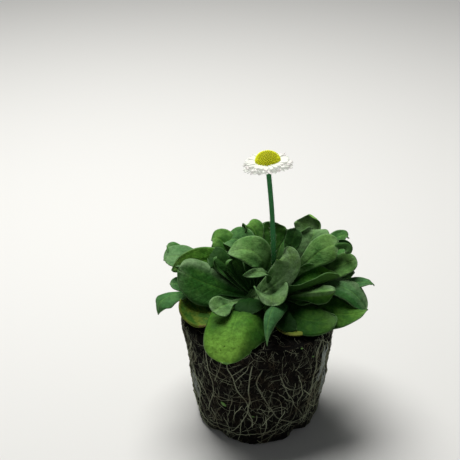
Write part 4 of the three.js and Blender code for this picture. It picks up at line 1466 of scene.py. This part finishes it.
def show_camera():
    lens = bpy.data.cameras.new("camera")
    lens.sensor_width = SENSOR_WIDTH
    lens.lens = SENSOR_WIDTH * FOCAL_PIXELS / PHOTO_WIDTH
    camera = bpy.data.objects.new("camera", lens)
    camera.location = CAMERA_PLACE
    camera.rotation_euler = (math.radians(90 - CAMERA_PITCH), 0, math.radians(CAMERA_YAW))
    bpy.context.scene.collection.objects.link(camera)
    bpy.context.scene.camera = camera


# Operators: one for each piece or group of like pieces, and one for the stage

class BuildSoil(bpy.types.Operator):
    """Root ball of damp soil, with loose clods"""
    bl_idname = "daisy.soil"
    bl_label = "Soil"

    def execute(self, context):
        finish = soil_finish()
        show_piece("soil_ball", soil_mesh(), [finish], "soil")
        show_piece("soil_clods", clods_mesh(), [finish], "soil", smooth=False)
        show_piece("green_flecks", flecks_mesh(), [fleck_finish()], "soil")
        return {"FINISHED"}


class BuildRoots(bpy.types.Operator):
    """Thick roots over the side, with finer ones and hair-fine rootlets between them"""
    bl_idname = "daisy.roots"
    bl_label = "Roots"

    def execute(self, context):
        settings = context.scene.daisy_roots
        finish = root_finish()
        dice = random.Random(ROOT_SEED)
        thick = [thick_strand(places, dice) for places in thick_root_places()]
        side = [rootlet(dice, SIDE_ROOT) for _ in range(settings.middling)]
        fine = [rootlet(dice, ROOTLET) for _ in range(settings.fine)]
        fine += [top_rootlet(dice) for _ in range(TOP_ROOTLETS)]
        kinds = {
            "main_roots": (thick, finish),
            "side_roots": (side, finish),
            "pale_roots": (pale_bundles(), pale_root_finish()),
            "rootlets": (fine, finish),
        }
        for name, (strands, skin) in kinds.items():
            show_piece(name, strands_mesh(strands), [skin], "surface_roots")
        return {"FINISHED"}


class BuildLeaves(bpy.types.Operator):
    """Rosette of spoon-shaped leaves on their crown"""
    bl_idname = "daisy.leaves"
    bl_label = "Leaves"

    def execute(self, context):
        finishes = [leaf_top_finish(), leaf_under_finish(), leaf_rim_finish()]
        groups = {
            "front_leaves": FRONT_LEAVES,
            "right_leaves": RIGHT_LEAVES,
            "left_leaves": LEFT_LEAVES,
            "heart_leaves": HEART_LEAVES,
            "back_leaves": BACK_LEAVES,
        }
        for name, leaves in groups.items():
            show_leaves(name, leaves, "leaf_rosette", finishes)
        show_piece("crown", crown_mesh(), [crown_finish()], "leaf_rosette")
        return {"FINISHED"}


class BuildOldLeaves(bpy.types.Operator):
    """The two withering leaves that lie under the rosette"""
    bl_idname = "daisy.old_leaves"
    bl_label = "Old leaves"

    def execute(self, context):
        finishes = 3 * [old_leaf_finish()]
        show_leaves("withering_leaf_left", [OLD_LEAF_LEFT], "old_leaf_left", finishes)
        show_leaves("withering_leaf_front", [OLD_LEAF_FRONT], "old_leaf_front", finishes)
        return {"FINISHED"}


class BuildStalk(bpy.types.Operator):
    """Flower stalk with its hairs and its green cup of bracts"""
    bl_idname = "daisy.stalk"
    bl_label = "Stalk"

    def execute(self, context):
        show_piece("stalk", stalk_mesh(), [stalk_finish()], "flower_stem")
        show_piece("stalk_hairs", stalk_hairs_mesh(), [hair_finish()], "flower_stem")
        show_piece("green_cup", cup_mesh(), [cup_finish()], "flower_stem")
        return {"FINISHED"}


class BuildPetals(bpy.types.Operator):
    """White petals in three layers"""
    bl_idname = "daisy.petals"
    bl_label = "Petals"

    def execute(self, context):
        finish = petal_finish()
        petals = show_piece("petals", petals_mesh(), [finish], "ray_petals")
        body = petals.modifiers.new("petal", "SOLIDIFY")
        body.thickness = PETAL_THICKNESS * MM
        body.offset = 0
        show_piece("petal_ring", turned_mesh(RING_PROFILE, RING_STEPS), [finish], "ray_petals")
        return {"FINISHED"}


class BuildFlorets(bpy.types.Operator):
    """Yellow dome of disc florets"""
    bl_idname = "daisy.florets"
    bl_label = "Florets"

    def execute(self, context):
        dome = turned_mesh(DISC_PROFILE, DISC_STEPS)
        show_piece("disc_dome", dome, [disc_finish()], "disc_florets")
        show_piece("florets", florets_mesh(), [floret_finish()], "disc_florets")
        return {"FINISHED"}


class BuildStage(bpy.types.Operator):
    """Plain floor, soft light and camera"""
    bl_idname = "daisy.stage"
    bl_label = "Stage"

    def execute(self, context):
        show_floor()
        show_lights()
        show_camera()
        context.scene.view_settings.view_transform = "Standard"
        return {"FINISHED"}


class DaisyPanel(bpy.types.Panel):
    """Lists the steps that build the daisy"""
    bl_idname = "VIEW3D_PT_daisy"
    bl_label = "English Daisy"
    bl_space_type = "VIEW_3D"
    bl_region_type = "UI"
    bl_category = "Daisy"

    def draw(self, context):
        for operator in OPERATORS:
            self.layout.operator(operator.bl_idname)
        for group in GROUPS:
            for key in GROUPS[group].__annotations__:
                self.layout.prop(getattr(context.scene, group), key)


OPERATORS = (
    BuildStage, BuildSoil, BuildRoots, BuildLeaves, BuildOldLeaves, BuildStalk, BuildPetals, BuildFlorets,
)
GROUPS = {
    "daisy_leaves": LeafSettings,
    "daisy_soil": SoilSettings,
    "daisy_roots": RootSettings,
    "daisy_flower": FlowerSettings,
    "daisy_stage": StageSettings,
}


def register():
    for group, settings in GROUPS.items():
        bpy.utils.register_class(settings)
        setattr(bpy.types.Scene, group, PointerProperty(type=settings))
    for operator in OPERATORS:
        bpy.utils.register_class(operator)
    bpy.utils.register_class(DaisyPanel)


def unregister():
    bpy.utils.unregister_class(DaisyPanel)
    for operator in reversed(OPERATORS):
        bpy.utils.unregister_class(operator)
    for group, settings in GROUPS.items():
        delattr(bpy.types.Scene, group)
        bpy.utils.unregister_class(settings)


def main():
    register()
    bpy.ops.daisy.stage()
    bpy.ops.daisy.soil()
    bpy.ops.daisy.roots()
    bpy.ops.daisy.leaves()
    bpy.ops.daisy.old_leaves()
    bpy.ops.daisy.stalk()
    bpy.ops.daisy.petals()
    bpy.ops.daisy.florets()


if __name__ == "__main__":
    main()
